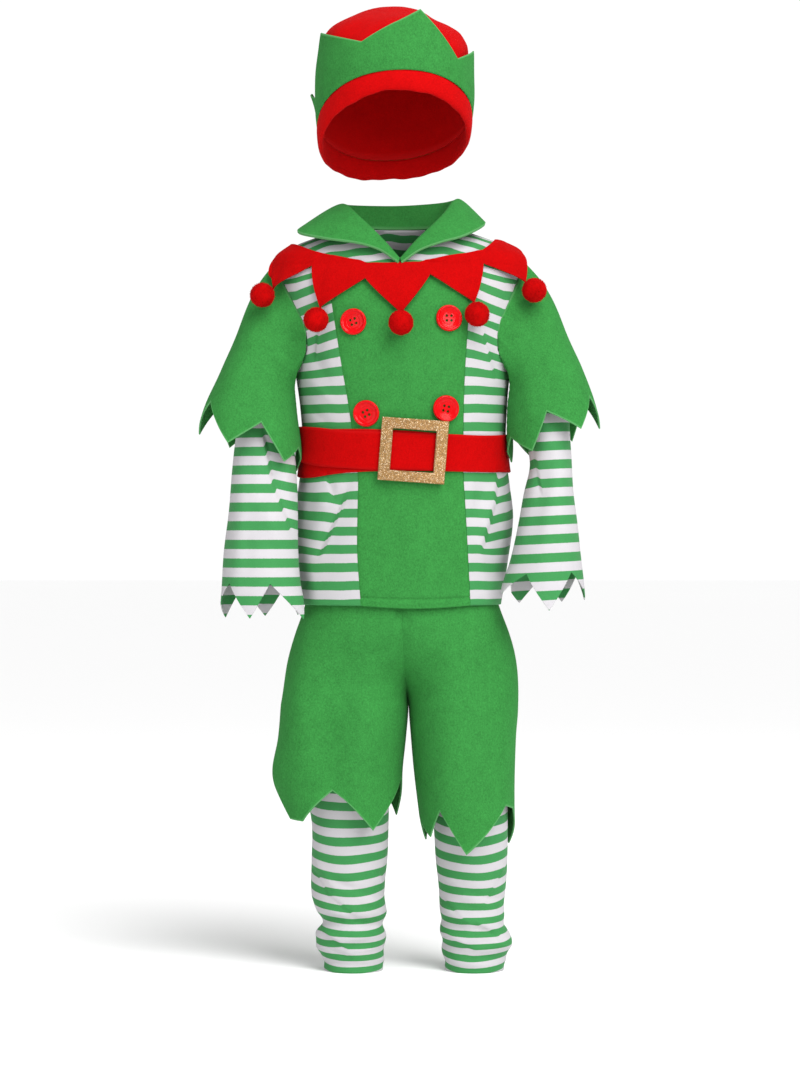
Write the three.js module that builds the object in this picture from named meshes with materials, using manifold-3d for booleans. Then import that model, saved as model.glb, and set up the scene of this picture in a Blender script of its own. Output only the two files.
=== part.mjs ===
// Child's elf costume in its worn form: hat, tunic with two pairs of sleeves, belt, breeches and leggings.
// Millimetres, +Z up. The front faces -Y, the wearer's right is -X, and the origin is the base of the neck.
import * as THREE from "three";
import { mergeVertices } from "three/addons/utils/BufferGeometryUtils.js";
import Module from "manifold-3d";

const wasm = await Module();
wasm.setup();

// Driving dimensions: cloth and gaps
const FELT = 1.8;
const STRIPED_CLOTH = 1.1;
const BELT_FELT = 2.0;
const LAYER_GAP = 0.5;
const SEAM_GAP = 0.3;
const SEAM_DEGREES = 0.1;
const SEAM_HALF = 0.6;
const WELD = 1e-3;

// Driving dimensions: heights of the garment's main lines
const NECK_Z = 27;
const SHOULDER_Z = -12;
const UNDERARM_Z = -142;
const TUNIC_HEM_Z = -407;
const WAIST_Z = -236;
const CROTCH_Z = -523;
const BREECHES_SEAM_Z = -560;
const ANKLE_Z = -828;
const ARMHOLE_DROP = 77;

// Driving dimensions: trim
const BUTTON_ACROSS = 30;
const BUTTON_THICK = 4;
const BUTTON_HOLE = 3.2;
const POMPOM_ACROSS = 30;
const BUCKLE_ACROSS = 70;
const BUCKLE_HIGH = 71;
const BUCKLE_BAR = 12;
const BUCKLE_THICK = 3;
const BUCKLE_TURN = -4.3;

// How square the sections are: 2 is an ellipse
const TORSO_POWER = 2.3;
const LEG_POWER = 2.2;
const HAT_POWER = 2.15;
const RIM_POWER = 2.6;

const BODY_CENTRE = new THREE.Vector3(0, 0, -80);
const RIGHT = -1;
const LEFT = 1;

// Materials
const greenFelt = cloth(0x42a348, 0.95);
const redFelt = cloth(0xcd0a0c, 0.95);
const hatRed = cloth(0xe11414, 0.95);
const striped = cloth(0x8fc3a0, 0.75);
const redPlastic = cloth(0xfc2630, 0.2);
const goldGlitter = new THREE.MeshStandardMaterial({ color: 0xc49650, roughness: 0.45, metalness: 0.4 });

function cloth(color, roughness) {
  return new THREE.MeshStandardMaterial({ color, roughness, metalness: 0, side: THREE.DoubleSide });
}

// Tables: the first column is the key, and the others are read as smooth curves over it.
function table(names, ...rows) {
  const key = names[0];
  const named = rows.map((row) => Object.fromEntries(names.map((name, i) => [name, row[i]])));
  return { key, rows: named.sort((a, b) => a[key] - b[key]) };
}

function bracket({ key, rows }, at) {
  let i = 1;
  while (i < rows.length - 1 && at > rows[i][key]) i++;
  const span = rows[i][key] - rows[i - 1][key];
  const share = THREE.MathUtils.clamp((at - rows[i - 1][key]) / span, 0, 1);
  return { i, span, share };
}

function smoothAt(tab, name, at) {
  const { key, rows } = tab;
  const { i, span, share } = bracket(tab, at);
  const [low, high] = [rows[i - 1], rows[i]];
  const slope = (a, b) => ((b[name] - a[name]) / (b[key] - a[key])) * span;
  const startSlope = slope(rows[i - 2] ?? low, high);
  const endSlope = slope(low, rows[i + 1] ?? high);
  const [t, t2, t3] = [share, share ** 2, share ** 3];
  return (
    (2 * t3 - 3 * t2 + 1) * low[name] +
    (t3 - 2 * t2 + t) * startSlope +
    (3 * t2 - 2 * t3) * high[name] +
    (t3 - t2) * endSlope
  );
}

function straightAt(tab, name, at) {
  const { i, share } = bracket(tab, at);
  return THREE.MathUtils.lerp(tab.rows[i - 1][name], tab.rows[i][name], share);
}

// The key values of a table, each stretch split in equal steps: the columns that a cut edge needs.
function keysOf({ key, rows }, steps = 1) {
  const keys = [];
  rows.slice(1).forEach((row, i) => {
    for (let k = 0; k < steps; k++) keys.push(THREE.MathUtils.lerp(rows[i][key], row[key], k / steps));
  });
  return [...keys, rows[rows.length - 1][key]];
}

function spread(from, to, steps) {
  return Array.from({ length: steps + 1 }, (_, i) => THREE.MathUtils.lerp(from, to, i / steps));
}

// Surfaces: angle 0 is the front, 90 the +X side, 180 the back and -90 the -X side.
function roundPower(value, power) {
  return Math.sign(value) * Math.abs(value) ** (2 / power);
}

function sectionPoint({ mid, half, front, back, midY = 0 }, angle, z, power = 2) {
  const turn = THREE.MathUtils.degToRad(angle);
  const depth = Math.cos(turn) > 0 ? front : back;
  const x = mid + half * roundPower(Math.sin(turn), power);
  const y = midY - depth * roundPower(Math.cos(turn), power);
  return new THREE.Vector3(x, y, z);
}

function sectionAt(tab, at, out = 0) {
  const row = {};
  for (const name of Object.keys(tab.rows[0])) row[name] = smoothAt(tab, name, at);
  for (const name of ["half", "front", "back"]) row[name] += out;
  return row;
}

// Folds: soft ridges and troughs along a line seen from the front, as deep as their height column.
// A fold keeps this share of its height at its ends.
const FOLD_END = 0.35;
const foldColumns = ["fromX", "fromZ", "toX", "toZ", "width", "height"];

function foldList(...rows) {
  return rows.map((row) => Object.fromEntries(foldColumns.map((name, i) => [name, row[i]])));
}

function foldHeight(folds, x, z) {
  let height = 0;
  for (const fold of folds) {
    const along = new THREE.Vector2(fold.toX - fold.fromX, fold.toZ - fold.fromZ);
    const reach = new THREE.Vector2(x - fold.fromX, z - fold.fromZ);
    const share = THREE.MathUtils.clamp(reach.dot(along) / along.lengthSq(), 0, 1);
    const away = reach.sub(along.multiplyScalar(share)).length() / fold.width;
    const fade = FOLD_END + (1 - FOLD_END) * Math.sin(Math.PI * (0.1 + 0.8 * share));
    height += fold.height * fade * Math.exp(-away * away);
  }
  return height;
}

// Walls: a grid of outer points, and the same points moved in by the cloth's thickness.
function normals(grid, closed) {
  const [rows, columns] = [grid.length, grid[0].length];
  const column = (i) => (closed ? (i + columns) % columns : THREE.MathUtils.clamp(i, 0, columns - 1));
  const row = (j) => THREE.MathUtils.clamp(j, 0, rows - 1);
  return grid.map((line, j) =>
    line.map((_, i) => {
      const along = grid[j][column(i + 1)].clone().sub(grid[j][column(i - 1)]);
      const down = grid[row(j + 1)][i].clone().sub(grid[row(j - 1)][i]);
      return down.cross(along).normalize();
    }),
  );
}

function moved(grid, distance, closed) {
  const out = normals(grid, closed);
  return grid.map((line, j) => line.map((p, i) => p.clone().addScaledVector(out[j][i], distance)));
}

// Each cell of the grid is split along its shorter diagonal.
function skin(outer, inner, closed) {
  const points = [...outer.flat(), ...inner.flat()];
  const [rows, columns] = [outer.length, outer[0].length];
  const at = (side, j, i) => side * rows * columns + j * columns + (closed ? i % columns : i);
  const faces = [];
  const quad = (a, b, c, d) => {
    const along = points[a].distanceTo(points[c]) <= points[b].distanceTo(points[d]);
    faces.push(...(along ? [a, b, c, a, c, d] : [a, b, d, b, c, d]));
  };
  const [last, end] = [rows - 1, columns - 1];
  for (let i = 0; i < (closed ? columns : end); i++) {
    for (let j = 0; j < last; j++) {
      quad(at(0, j, i), at(0, j + 1, i), at(0, j + 1, i + 1), at(0, j, i + 1));
      quad(at(1, j, i), at(1, j, i + 1), at(1, j + 1, i + 1), at(1, j + 1, i));
    }
    quad(at(0, 0, i), at(0, 0, i + 1), at(1, 0, i + 1), at(1, 0, i));
    quad(at(0, last, i + 1), at(0, last, i), at(1, last, i), at(1, last, i + 1));
  }
  for (let j = 0; j < last && !closed; j++) {
    quad(at(0, j + 1, 0), at(0, j, 0), at(1, j, 0), at(1, j + 1, 0));
    quad(at(0, j, end), at(0, j + 1, end), at(1, j + 1, end), at(1, j, end));
  }
  return bodyOf(points, faces);
}

// One closed body: points that meet are joined, and faces that have shrunk to a line are dropped.
function bodyOf(points, faces) {
  const loose = new THREE.BufferGeometry().setFromPoints(points).setIndex(faces);
  const joined = mergeVertices(loose, WELD);
  const kept = [];
  const index = joined.index.array;
  for (let i = 0; i < index.length; i += 3) {
    const [a, b, c] = index.slice(i, i + 3);
    if (a !== b && b !== c && c !== a) kept.push(a, b, c);
  }
  joined.setIndex(kept);
  joined.computeVertexNormals();
  return joined;
}

function wall(surface, across, down, thick, closed = false) {
  const outer = down.map((d) => across.map((a) => surface(a, d)));
  return skin(outer, moved(outer, -thick, closed), closed);
}

// A bag closed at the top: its last row is one point on each side of the cloth.
function bag(surface, across, rise, thick) {
  const outer = rise.map((r) => across.map((a) => surface(a, r))).reverse();
  const inner = moved(outer, -thick, true);
  const tip = outer[0][0].clone().add(new THREE.Vector3(0, 0, -thick));
  inner[0] = inner[0].map(() => tip.clone());
  return skin(outer, inner, true);
}

// A closed ring of sections, each a loop of points.
function ring(sections) {
  const [turns, sides] = [sections.length, sections[0].length];
  const faces = [];
  for (let i = 0; i < turns; i++) {
    for (let j = 0; j < sides; j++) {
      const [k, l] = [(i + 1) % turns, (j + 1) % sides];
      faces.push(i * sides + j, i * sides + l, k * sides + l);
      faces.push(i * sides + j, k * sides + l, k * sides + j);
    }
  }
  return bodyOf(sections.flat(), faces);
}

// Tunic: the torso's sections, the neck's edge, the armhole and the front's seams
const torso = table(
  ["z", "mid", "half", "front", "back"],
  [27, 0, 58, 42, 47],
  [20, 0, 78, 46, 52],
  [13, 0, 98, 50, 57],
  [5, 0, 119, 56, 64],
  [-5, 0, 134, 63, 73],
  [-12, 0, 140, 67, 78],
  [-40, 0, 139, 77, 86],
  [-60, 1, 135, 81, 88],
  [-100, 2, 128, 85, 88],
  [-142, 3, 123, 85, 86],
  [-180, 4, 119, 83, 84],
  [-232, 5, 117, 82, 82],
  [-270, 5, 121, 83, 83],
  [-310, 4, 126, 84, 85],
  [-360, 2, 122, 83, 85],
  [-412, 0, 115, 81, 83],
);
const neckEdge = table(
  ["z", "reach"],
  [27, 56],
  [20, 52],
  [10, 42],
  [0, 28],
  [-8, 16],
  [-17, 0.6],
  [-22, 0.6],
);
const armhole = table(
  ["z", "front", "back"],
  [-12, 140, 140],
  [-24, 137, 138],
  [-40, 133, 134],
  [-59, 124, 126],
  [-84, 112, 117],
  [-100, 108, 114],
  [-118, 108, 114],
  [-132, 114, 117],
  [-142, 123, 123],
);
const frontSeams = table(
  ["z", "right", "left"],
  [-26, -82, 82],
  [-68, -77, 78],
  [-126, -67.5, 74.5],
  [-187, -57.5, 72],
  [-257, -48, 71.5],
  [-300, -48, 74],
  [-350, -48, 77],
  [-412, -44, 80],
);
const tunicFolds = foldList(
  [-96, -92, -93, -140, 11, -3.5],
  [84, -86, 112, -150, 12, -4],
  [108, -96, 118, -170, 13, 3],
  [-92, -274, -84, -300, 12, 4],
  [-64, -296, -92, -362, 13, -4.5],
  [-84, -330, -104, -392, 14, 4],
  [112, -276, 94, -342, 13, 4.5],
  [96, -270, 84, -306, 10, -3],
  [10, -280, 26, -392, 26, 3],
);

// Folds fade out where the cloth turns from the front to the side, by the cosine of its angle.
const FRONT_FADE = [0.05, 0.4];

function torsoPoint(angle, z, out = 0) {
  const point = sectionPoint(sectionAt(torso, z, out), angle, z, TORSO_POWER);
  const facing = THREE.MathUtils.smoothstep(Math.cos(THREE.MathUtils.degToRad(angle)), ...FRONT_FADE);
  point.y -= facing * foldHeight(tunicFolds, point.x, z);
  return point;
}

function torsoAngle(x, z) {
  const { mid, half } = sectionAt(torso, z);
  const share = THREE.MathUtils.clamp((x - mid) / half, -1, 1);
  return THREE.MathUtils.radToDeg(Math.asin(Math.sign(share) * Math.abs(share) ** (TORSO_POWER / 2)));
}

// The angle at which the tunic is as far from its own middle as given.
function reachAngle(reach, z) {
  return torsoAngle(smoothAt(torso, "mid", z) + reach, z);
}

function inArmhole(z) {
  return z < SHOULDER_Z && z > UNDERARM_Z;
}

function sideFrontPoint(side, share, z) {
  const onYoke = z > frontSeams.rows.at(-1).z;
  const seam = onYoke ? side * smoothAt(neckEdge, "reach", z) : seamX(side, z) + side * SEAM_HALF;
  const outer = inArmhole(z) ? reachAngle(straightAt(armhole, "front", z), z) : 90;
  const angles = [torsoAngle(seam, z), side * (outer - SEAM_DEGREES)];
  const outward = side === LEFT ? share : 1 - share;
  return torsoPoint(THREE.MathUtils.lerp(...angles, outward), z);
}

function seamX(side, z) {
  return smoothAt(frontSeams, side === LEFT ? "left" : "right", z);
}

const tunicRows = [-26, -40, -59, -84, -100, -118, -132, -142, -165, -195, -225, -255];
const lowerRows = [-288, -320, -352, -382, TUNIC_HEM_Z];
const YOKE_RISE = 5;
const YOKE_GAP = 0.9;
const HEM_DIP = 3;
const shoulderRows = [NECK_Z, 20, 13, 5, -4, -11.9, tunicRows[0] + YOKE_RISE];

function sideFront(side) {
  const surface = (share, z) => sideFrontPoint(side, share, z);
  return wall(surface, spread(0, 1, 6), [...shoulderRows, ...tunicRows, ...lowerRows], STRIPED_CLOTH);
}

function centreFront() {
  const surface = (share, z) => {
    const x = THREE.MathUtils.lerp(seamX(RIGHT, z), seamX(LEFT, z), share);
    const topRise = z === tunicRows[0] ? YOKE_RISE * (1 - Math.abs(2 * share - 1)) - YOKE_GAP : 0;
    const hemDip = z === TUNIC_HEM_Z ? -HEM_DIP * Math.sin(Math.PI * share) : 0;
    return torsoPoint(torsoAngle(x, z), z + topRise + hemDip);
  };
  return wall(surface, spread(0, 1, 8), [...tunicRows, ...lowerRows], FELT);
}

function tunicBack() {
  const surface = (share, z) => {
    const reach = straightAt(armhole, "back", z);
    const edges = [LEFT, RIGHT].map((side) => {
      const open = inArmhole(z) ? reachAngle(reach, z) : 90;
      return side === LEFT ? 180 - open + SEAM_DEGREES : 180 + open - SEAM_DEGREES;
    });
    return torsoPoint(THREE.MathUtils.lerp(...edges, share), z);
  };
  return wall(surface, spread(0, 1, 12), [...shoulderRows, ...tunicRows, ...lowerRows], STRIPED_CLOTH);
}

// Sleeves: leaning rings from the armhole down, keyed by how far the ring's centre is below the neck
const sleeveColumns = ["drop", "mid", "lean", "half", "midY", "depth"];
const oversleeveRings = {
  [RIGHT]: table(
    sleeveColumns,
    [77, 131, 8, 65, 2, 57],
    [97, 141, 21, 60, 0, 56],
    [131, 152, 45, 49, -8, 53],
    [165, 161, 60, 51, -18, 54],
    [202, 167, 67, 60, -27, 57],
    [242, 173, 70, 64, -34, 58],
  ),
  [LEFT]: table(
    sleeveColumns,
    [77, 131, 8, 65, 2, 57],
    [95, 142, 21, 60, 0, 56],
    [129, 155, 47, 49, -8, 53],
    [160, 163, 61, 51, -18, 54],
    [195, 171, 66, 55, -27, 56],
    [236, 178, 70, 58, -34, 57],
  ),
};
const undersleeveRings = {
  [RIGHT]: table(
    sleeveColumns,
    [77, 131, 8, 60, 2, 52],
    [97, 141, 21, 54, 0, 49],
    [131, 152, 46, 42, -9, 44],
    [165, 155, 62, 38, -18, 39],
    [202, 154, 74, 33, -27, 34],
    [240, 154, 80, 36, -35, 35],
    [300, 154, 86, 40, -47, 37],
    [345, 157, 88, 42, -53, 38],
    [385, 157, 90, 45, -57, 40],
    [424, 154, 90, 51, -60, 42],
  ),
  [LEFT]: table(
    sleeveColumns,
    [77, 131, 8, 60, 2, 52],
    [95, 142, 21, 54.7, 0, 49.6],
    [129, 154, 47, 42.6, -9, 44.6],
    [160, 160, 62, 37, -20, 40],
    [200, 166, 76, 28, -30, 36],
    [243, 171, 84, 24, -39, 34],
    [278, 169, 87, 28, -45, 35],
    [313, 168, 88, 33, -50, 37],
    [358, 165, 90, 41, -55, 39],
    [381, 162, 90, 46, -57, 41],
    [412, 160, 90, 50, -59, 43],
  ),
};
const cutColumns = ["angle", "drop"];
const oversleeveCut = {
  [RIGHT]: table(
    cutColumns,
    [-155, 236],
    [-128, 200],
    [-102, 234],
    [-64, 197],
    [-22, 232],
    [11, 196],
    [44, 229],
    [71, 206],
    [98, 232],
    [124, 202],
    [150, 234],
    [178, 200],
    [205, 236],
  ),
  [LEFT]: table(
    cutColumns,
    [-178, 193],
    [-150, 226],
    [-124, 194],
    [-98, 224],
    [-66, 196],
    [-31, 222],
    [-5, 186],
    [33, 219],
    [66, 190],
    [100, 226],
    [128, 192],
    [155, 228],
    [182, 193],
  ),
};
const undersleeveCut = {
  [RIGHT]: table(
    cutColumns,
    [-180, 420],
    [-150, 385],
    [-118, 421],
    [-51, 381],
    [-16, 421],
    [15, 382],
    [64, 422],
    [85, 396],
    [112, 418],
    [145, 385],
    [180, 420],
  ),
  [LEFT]: table(
    cutColumns,
    [-180, 375],
    [-150, 405],
    [-112, 378],
    [-75, 393],
    [-29, 371],
    [8, 412],
    [41, 369],
    [95, 401],
    [122, 374],
    [150, 404],
    [180, 375],
  ),
};
const sleeveFolds = foldList(
  [-190, -60, -206, -170, 16, 3],
  [-150, -90, -178, -190, 14, -3],
  [-140, -250, -152, -286, 10, -4],
  [-150, -300, -126, -340, 12, 4],
  [-176, -260, -186, -380, 12, 3],
  [186, -60, 206, -160, 16, 3],
  [150, -100, 172, -180, 13, -3],
  [166, -240, 150, -330, 10, -4],
  [184, -260, 186, -370, 12, 3],
);
const SLEEVE_CLEARANCE = { over: 6.5, under: 12.5 };
const SLEEVE_INSET = { over: 1.4, under: 11 };
const SLEEVE_SET = 55;
const ARMHOLE_BULGE = 1.5;
const ARM_REACH_TOP = UNDERARM_Z + 20;

function armholePoint(side, angle, inset) {
  const lift = -side * Math.sin(THREE.MathUtils.degToRad(angle));
  const z = (SHOULDER_Z + UNDERARM_Z) / 2 - lift * (0.5 * (SHOULDER_Z - UNDERARM_Z) - inset);
  const forward = Math.cos(THREE.MathUtils.degToRad(angle)) > 0;
  const reach = straightAt(armhole, forward ? "front" : "back", z);
  const { mid, half, front, back } = sectionAt(torso, z);
  const share = Math.min(1, reach / half) ** TORSO_POWER;
  const depth = (forward ? front : back) * (1 - share) ** (1 / TORSO_POWER);
  const y = (forward ? -1 : 1) * Math.max(0, depth - inset);
  return new THREE.Vector3(mid + side * (reach + SEAM_GAP + ARMHOLE_BULGE * lift ** 2), y, z);
}

function leaningPoint(rings, side, angle, drop) {
  const row = sectionAt(rings, drop);
  const turn = THREE.MathUtils.degToRad(angle);
  const lean = THREE.MathUtils.degToRad(row.lean);
  const outward = side * Math.sin(turn) * row.half;
  return new THREE.Vector3(
    side * (row.mid + outward * Math.sin(lean)),
    row.midY - row.depth * Math.cos(turn),
    -drop + outward * Math.cos(lean),
  );
}

// Keeps a sleeve clear of the tunic and the belt: a point too near is moved straight out.
function clearOfTorso(point, gap) {
  if (point.z > ARM_REACH_TOP) return point;
  const { mid, half, front, back } = sectionAt(torso, point.z, gap);
  const depth = point.y < 0 ? front : back;
  const size = Math.abs((point.x - mid) / half) ** TORSO_POWER + Math.abs(point.y / depth) ** TORSO_POWER;
  if (size < 1) {
    const grow = size ** (-1 / TORSO_POWER);
    point.x = mid + (point.x - mid) * grow;
    point.y *= grow;
  }
  return point;
}

function sleevePoint(rings, side, angle, drop, layer) {
  const point = leaningPoint(rings, side, angle, drop);
  const start = leaningPoint(rings, side, angle, ARMHOLE_DROP);
  const stay = 1 - THREE.MathUtils.smoothstep(drop, ARMHOLE_DROP, ARMHOLE_DROP + SLEEVE_SET);
  point.add(armholePoint(side, angle, SLEEVE_INSET[layer]).sub(start).multiplyScalar(stay));
  const facing = Math.max(0, Math.cos(THREE.MathUtils.degToRad(angle))) * (1 - stay);
  point.y -= facing * foldHeight(sleeveFolds, point.x, point.z);
  return clearOfTorso(point, SLEEVE_CLEARANCE[layer] * Math.min(1, 4 * (1 - stay)));
}

function sleeve(rings, cut, side, layer, rows, thick) {
  const across = keysOf(cut, 2).slice(0, -1);
  const surface = (angle, share) => {
    const drop = THREE.MathUtils.lerp(ARMHOLE_DROP, straightAt(cut, "drop", angle), share);
    return sleevePoint(rings, side, angle, drop, layer);
  };
  return wall(surface, across, spread(0, 1, rows), thick, true);
}

function oversleeve(side) {
  return sleeve(oversleeveRings[side], oversleeveCut[side], side, "over", 6, FELT);
}

function undersleeve(side) {
  return sleeve(undersleeveRings[side], undersleeveCut[side], side, "under", 9, STRIPED_CLOTH);
}

// Collar: stations round the neck from the front opening to the front opening.
// Each has the seam on the tunic's neck edge, the fold at the top of the stand and the outer edge.
const collarStations = table(
  ["station", "seamX", "seamY", "seamZ", "foldX", "foldY", "foldZ", "edgeX", "edgeY", "edgeZ"],
  [0, -2, -67, -13.5, -2, -68, -10, -5, -71, -11],
  [1, -18, -63, -4.5, -18, -62, 3, -22, -74, -7],
  [2, -36, -53, 7.5, -38, -52, 24, -48, -74, 1],
  [3, -50, -39, 19.8, -54, -34, 41, -84, -62, 7],
  [4, -57, -12, 28, -62, -10, 50, -115, -34, 16],
  [5, -58, 10, 28, -66, 14, 52, -108, 12, 26],
  [6, -41, 36, 28, -46, 44, 54, -76, 66, 20],
  [7, 0, 47, 28, 0, 54, 55, 0, 90, 14],
  [8, 41, 36, 28, 46, 44, 57, 70, 66, 22],
  [9, 58, 10, 28, 66, 14, 58, 92, 14, 33],
  [10, 57, -12, 28, 61, -10, 54, 95, -36, 24],
  [11, 50, -39, 19.8, 51, -36, 38, 72, -64, 10],
  [12, 36, -53, 7.5, 37, -52, 22, 46, -73, 2],
  [13, 18, -63, -4.5, 18, -62, 3, 22, -74, -7],
  [14, 2, -67, -13.5, 2, -68, -10, 5, -71, -11],
);
const COLLAR_RISE = 3;
const COLLAR_RISE_SHARE = 0.12;

function collarStation(part, station) {
  const place = ["X", "Y", "Z"].map((axis) => smoothAt(collarStations, part + axis, station));
  return new THREE.Vector3(...place);
}

// The share runs from -1 at the seam through 0 at the fold to 1 at the outer edge.
function collarPoint(station, share) {
  const [seam, fold, edge] = ["seam", "fold", "edge"].map((part) => collarStation(part, station));
  if (share < 0) return fold.lerp(seam, -share);
  const width = fold.distanceTo(edge);
  const point = fold.lerp(edge, share);
  point.z += Math.min(COLLAR_RISE, width * COLLAR_RISE_SHARE) * Math.sin(Math.PI * share ** 0.6);
  return point;
}

function collar() {
  return wall(collarPoint, keysOf(collarStations, 2), [-1, -0.5, 0, 0.12, 0.4, 0.7, 1], FELT);
}

// Jester collar: rays from the middle of the chest meet the tunic and the sleeves, and it lies on them
const jesterTop = table(
  ["angle", "rise"],
  [-180, 50],
  [-135, 46],
  [-105, 33],
  [-90, 29],
  [-78, 34.4],
  [-60, 33.5],
  [-40, 35.6],
  [0, 39],
  [37, 38],
  [60, 34.8],
  [75, 38.5],
  [90, 33],
  [105, 35],
  [135, 46],
  [180, 50],
);
const jesterCut = table(
  ["angle", "rise"],
  [-180, 8],
  [-152, 31],
  [-128, 8],
  [-100, 22],
  [-75, 12],
  [-59, 26.5],
  [-52, 4.5],
  [-26, 25.3],
  [0.7, 1.4],
  [23, 28.4],
  [48.5, 7.5],
  [57, 28.3],
  [75, 15.5],
  [100, 22],
  [128, 8],
  [152, 31],
  [180, 8],
);
const TIP_RISE = 1.5;
const pompomAngles = [-180, -128, -75, -52, 0.7, 48.5, 75, 128];

function rayDirection(angle, rise) {
  const [turn, up] = [angle, rise].map(THREE.MathUtils.degToRad);
  return new THREE.Vector3(Math.sin(turn) * Math.cos(up), -Math.cos(turn) * Math.cos(up), Math.sin(up));
}

// A small bundle of rays, because a single one can pass through a seam.
const RAY_BUNDLE = [
  [0, 0],
  [-2, 0],
  [2, 0],
  [0, -2],
  [0, 2],
];

function rayPoint(solids, angle, rise, out) {
  const hits = RAY_BUNDLE.flatMap(([aside, up]) =>
    new THREE.Raycaster(BODY_CENTRE, rayDirection(angle + aside, rise + up)).intersectObjects(solids),
  );
  const reach = Math.max(...hits.map((hit) => hit.distance));
  return BODY_CENTRE.clone().addScaledVector(rayDirection(angle, rise), reach + out);
}

// The cloth bridges the hollow between chest and sleeve: each point reaches as far as its neighbours' mean.
function layOver(solids, across, rows, edges, out) {
  const rays = rows.map((share) =>
    across.map((angle) => rayPoint(solids, angle, THREE.MathUtils.lerp(...edges(angle), share), out)),
  );
  const reach = rays.map((line) => line.map((point) => point.distanceTo(BODY_CENTRE)));
  return rays.map((line, j) =>
    line.map((point, i) => {
      const near = [-1, 1].map((step) => reach[j][(i + step + across.length) % across.length]);
      const far = Math.max(reach[j][i], (near[0] + near[1]) / 2);
      return point.clone().sub(BODY_CENTRE).setLength(far).add(BODY_CENTRE);
    }),
  );
}

const JESTER_LIFT = 2;

function jesterCollar(solids) {
  const across = keysOf(jesterCut, 3).slice(0, -1);
  const edges = (angle) => [straightAt(jesterTop, "rise", angle), straightAt(jesterCut, "rise", angle)];
  const under = layOver(solids, across, spread(0, 1, 4), edges, JESTER_LIFT);
  const outer = moved(under, FELT, true);
  return skin(outer, under, true);
}

// Pompoms: twenty short three-sided locks on a round core. The first is drawn out as the tie to its tab.
const POMPOM_SEAT = { out: 12, down: 14 };
const LOCK_DIRECTION = new THREE.Vector3(1, 1, 1).normalize();
const LOCK_TOLERANCE = 0.1;
const CORE_SHARE = 0.44;

function pompom(tie) {
  const core = mergeVertices(bare(new THREE.IcosahedronGeometry(CORE_SHARE * POMPOM_ACROSS)), WELD);
  const corners = Array.from({ length: core.attributes.position.count }, (_, i) =>
    new THREE.Vector3().fromBufferAttribute(core.attributes.position, i),
  );
  const faces = [];
  const roots = core.index.array;
  for (let i = 0; i < roots.length; i += 3) {
    const [a, b, c] = roots.slice(i, i + 3);
    const middle = corners[a].clone().add(corners[b]).add(corners[c]);
    const tied = middle.angleTo(LOCK_DIRECTION) < LOCK_TOLERANCE;
    const tip = corners.push(middle.setLength(tied ? tie : POMPOM_ACROSS / 2)) - 1;
    faces.push(a, b, tip, b, c, tip, c, a, tip);
  }
  return bodyOf(corners, faces);
}

function bare(geometry) {
  geometry.deleteAttribute("normal");
  geometry.deleteAttribute("uv");
  return geometry;
}

function solidOf(geometry) {
  const joined = mergeVertices(bare(geometry), WELD);
  const vertProperties = new Float32Array(joined.attributes.position.array);
  const triVerts = new Uint32Array(joined.index.array);
  return new wasm.Manifold(new wasm.Mesh({ numProp: 3, vertProperties, triVerts }));
}

function geometryOf(solid) {
  const { vertProperties, triVerts } = solid.getMesh();
  const geometry = new THREE.BufferGeometry();
  geometry.setAttribute("position", new THREE.BufferAttribute(vertProperties, 3));
  geometry.setIndex(new THREE.BufferAttribute(triVerts, 1));
  geometry.computeVertexNormals();
  return geometry;
}

// Buttons: a dished disc with a raised rim and four holes, its back at z = 0
const BUTTON_DISH = 1.4;
const BUTTON_HOLE_OUT = 3.4;

function button() {
  const reach = BUTTON_ACROSS / 2;
  const profile = [
    [0, 0],
    [reach - 1.5, 0],
    [reach, 1.6],
    [reach - 1.4, BUTTON_THICK],
    [reach - 4.2, BUTTON_THICK - 0.3],
    [reach - 6.5, BUTTON_THICK - BUTTON_DISH],
    [0, BUTTON_THICK - BUTTON_DISH],
  ].map(([r, h]) => new THREE.Vector2(r, h));
  let solid = solidOf(new THREE.LatheGeometry(profile, 16));
  for (const angle of [45, 135, 225, 315]) {
    const hole = new THREE.CylinderGeometry(BUTTON_HOLE / 2, BUTTON_HOLE / 2, 3 * BUTTON_THICK, 8);
    const turn = THREE.MathUtils.degToRad(angle);
    hole.translate(BUTTON_HOLE_OUT * Math.cos(turn), 0, BUTTON_HOLE_OUT * Math.sin(turn));
    solid = solid.subtract(solidOf(hole));
  }
  return geometryOf(solid).rotateX(Math.PI / 2);
}

const buttonPlaces = table(
  ["number", "x", "z"],
  [1, -52, -88],
  [2, 54.7, -84],
  [3, -37.6, -191],
  [4, 51.3, -185.5],
);

// How far round and how far up the cloth's facing is measured
const SEAT_TURN = 3;
const SEAT_STEP = 8;

// Turns and places a piece whose own +Z is its front on the tunic, its back just off the cloth.
function seatOnTunic(mesh, x, z, lift) {
  const angle = torsoAngle(x, z);
  const at = torsoPoint(angle, z);
  const aside = torsoPoint(angle + SEAT_TURN, z).sub(torsoPoint(angle - SEAT_TURN, z));
  const [above, below] = [z + SEAT_STEP, z - SEAT_STEP];
  const up = torsoPoint(torsoAngle(x, above), above).sub(torsoPoint(torsoAngle(x, below), below));
  const facing = aside.clone().cross(up).normalize();
  mesh.position.copy(at.addScaledVector(facing, lift));
  mesh.quaternion.setFromUnitVectors(new THREE.Vector3(0, 0, 1), facing);
  return mesh;
}

const BELT_STEPS = 54;

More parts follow.
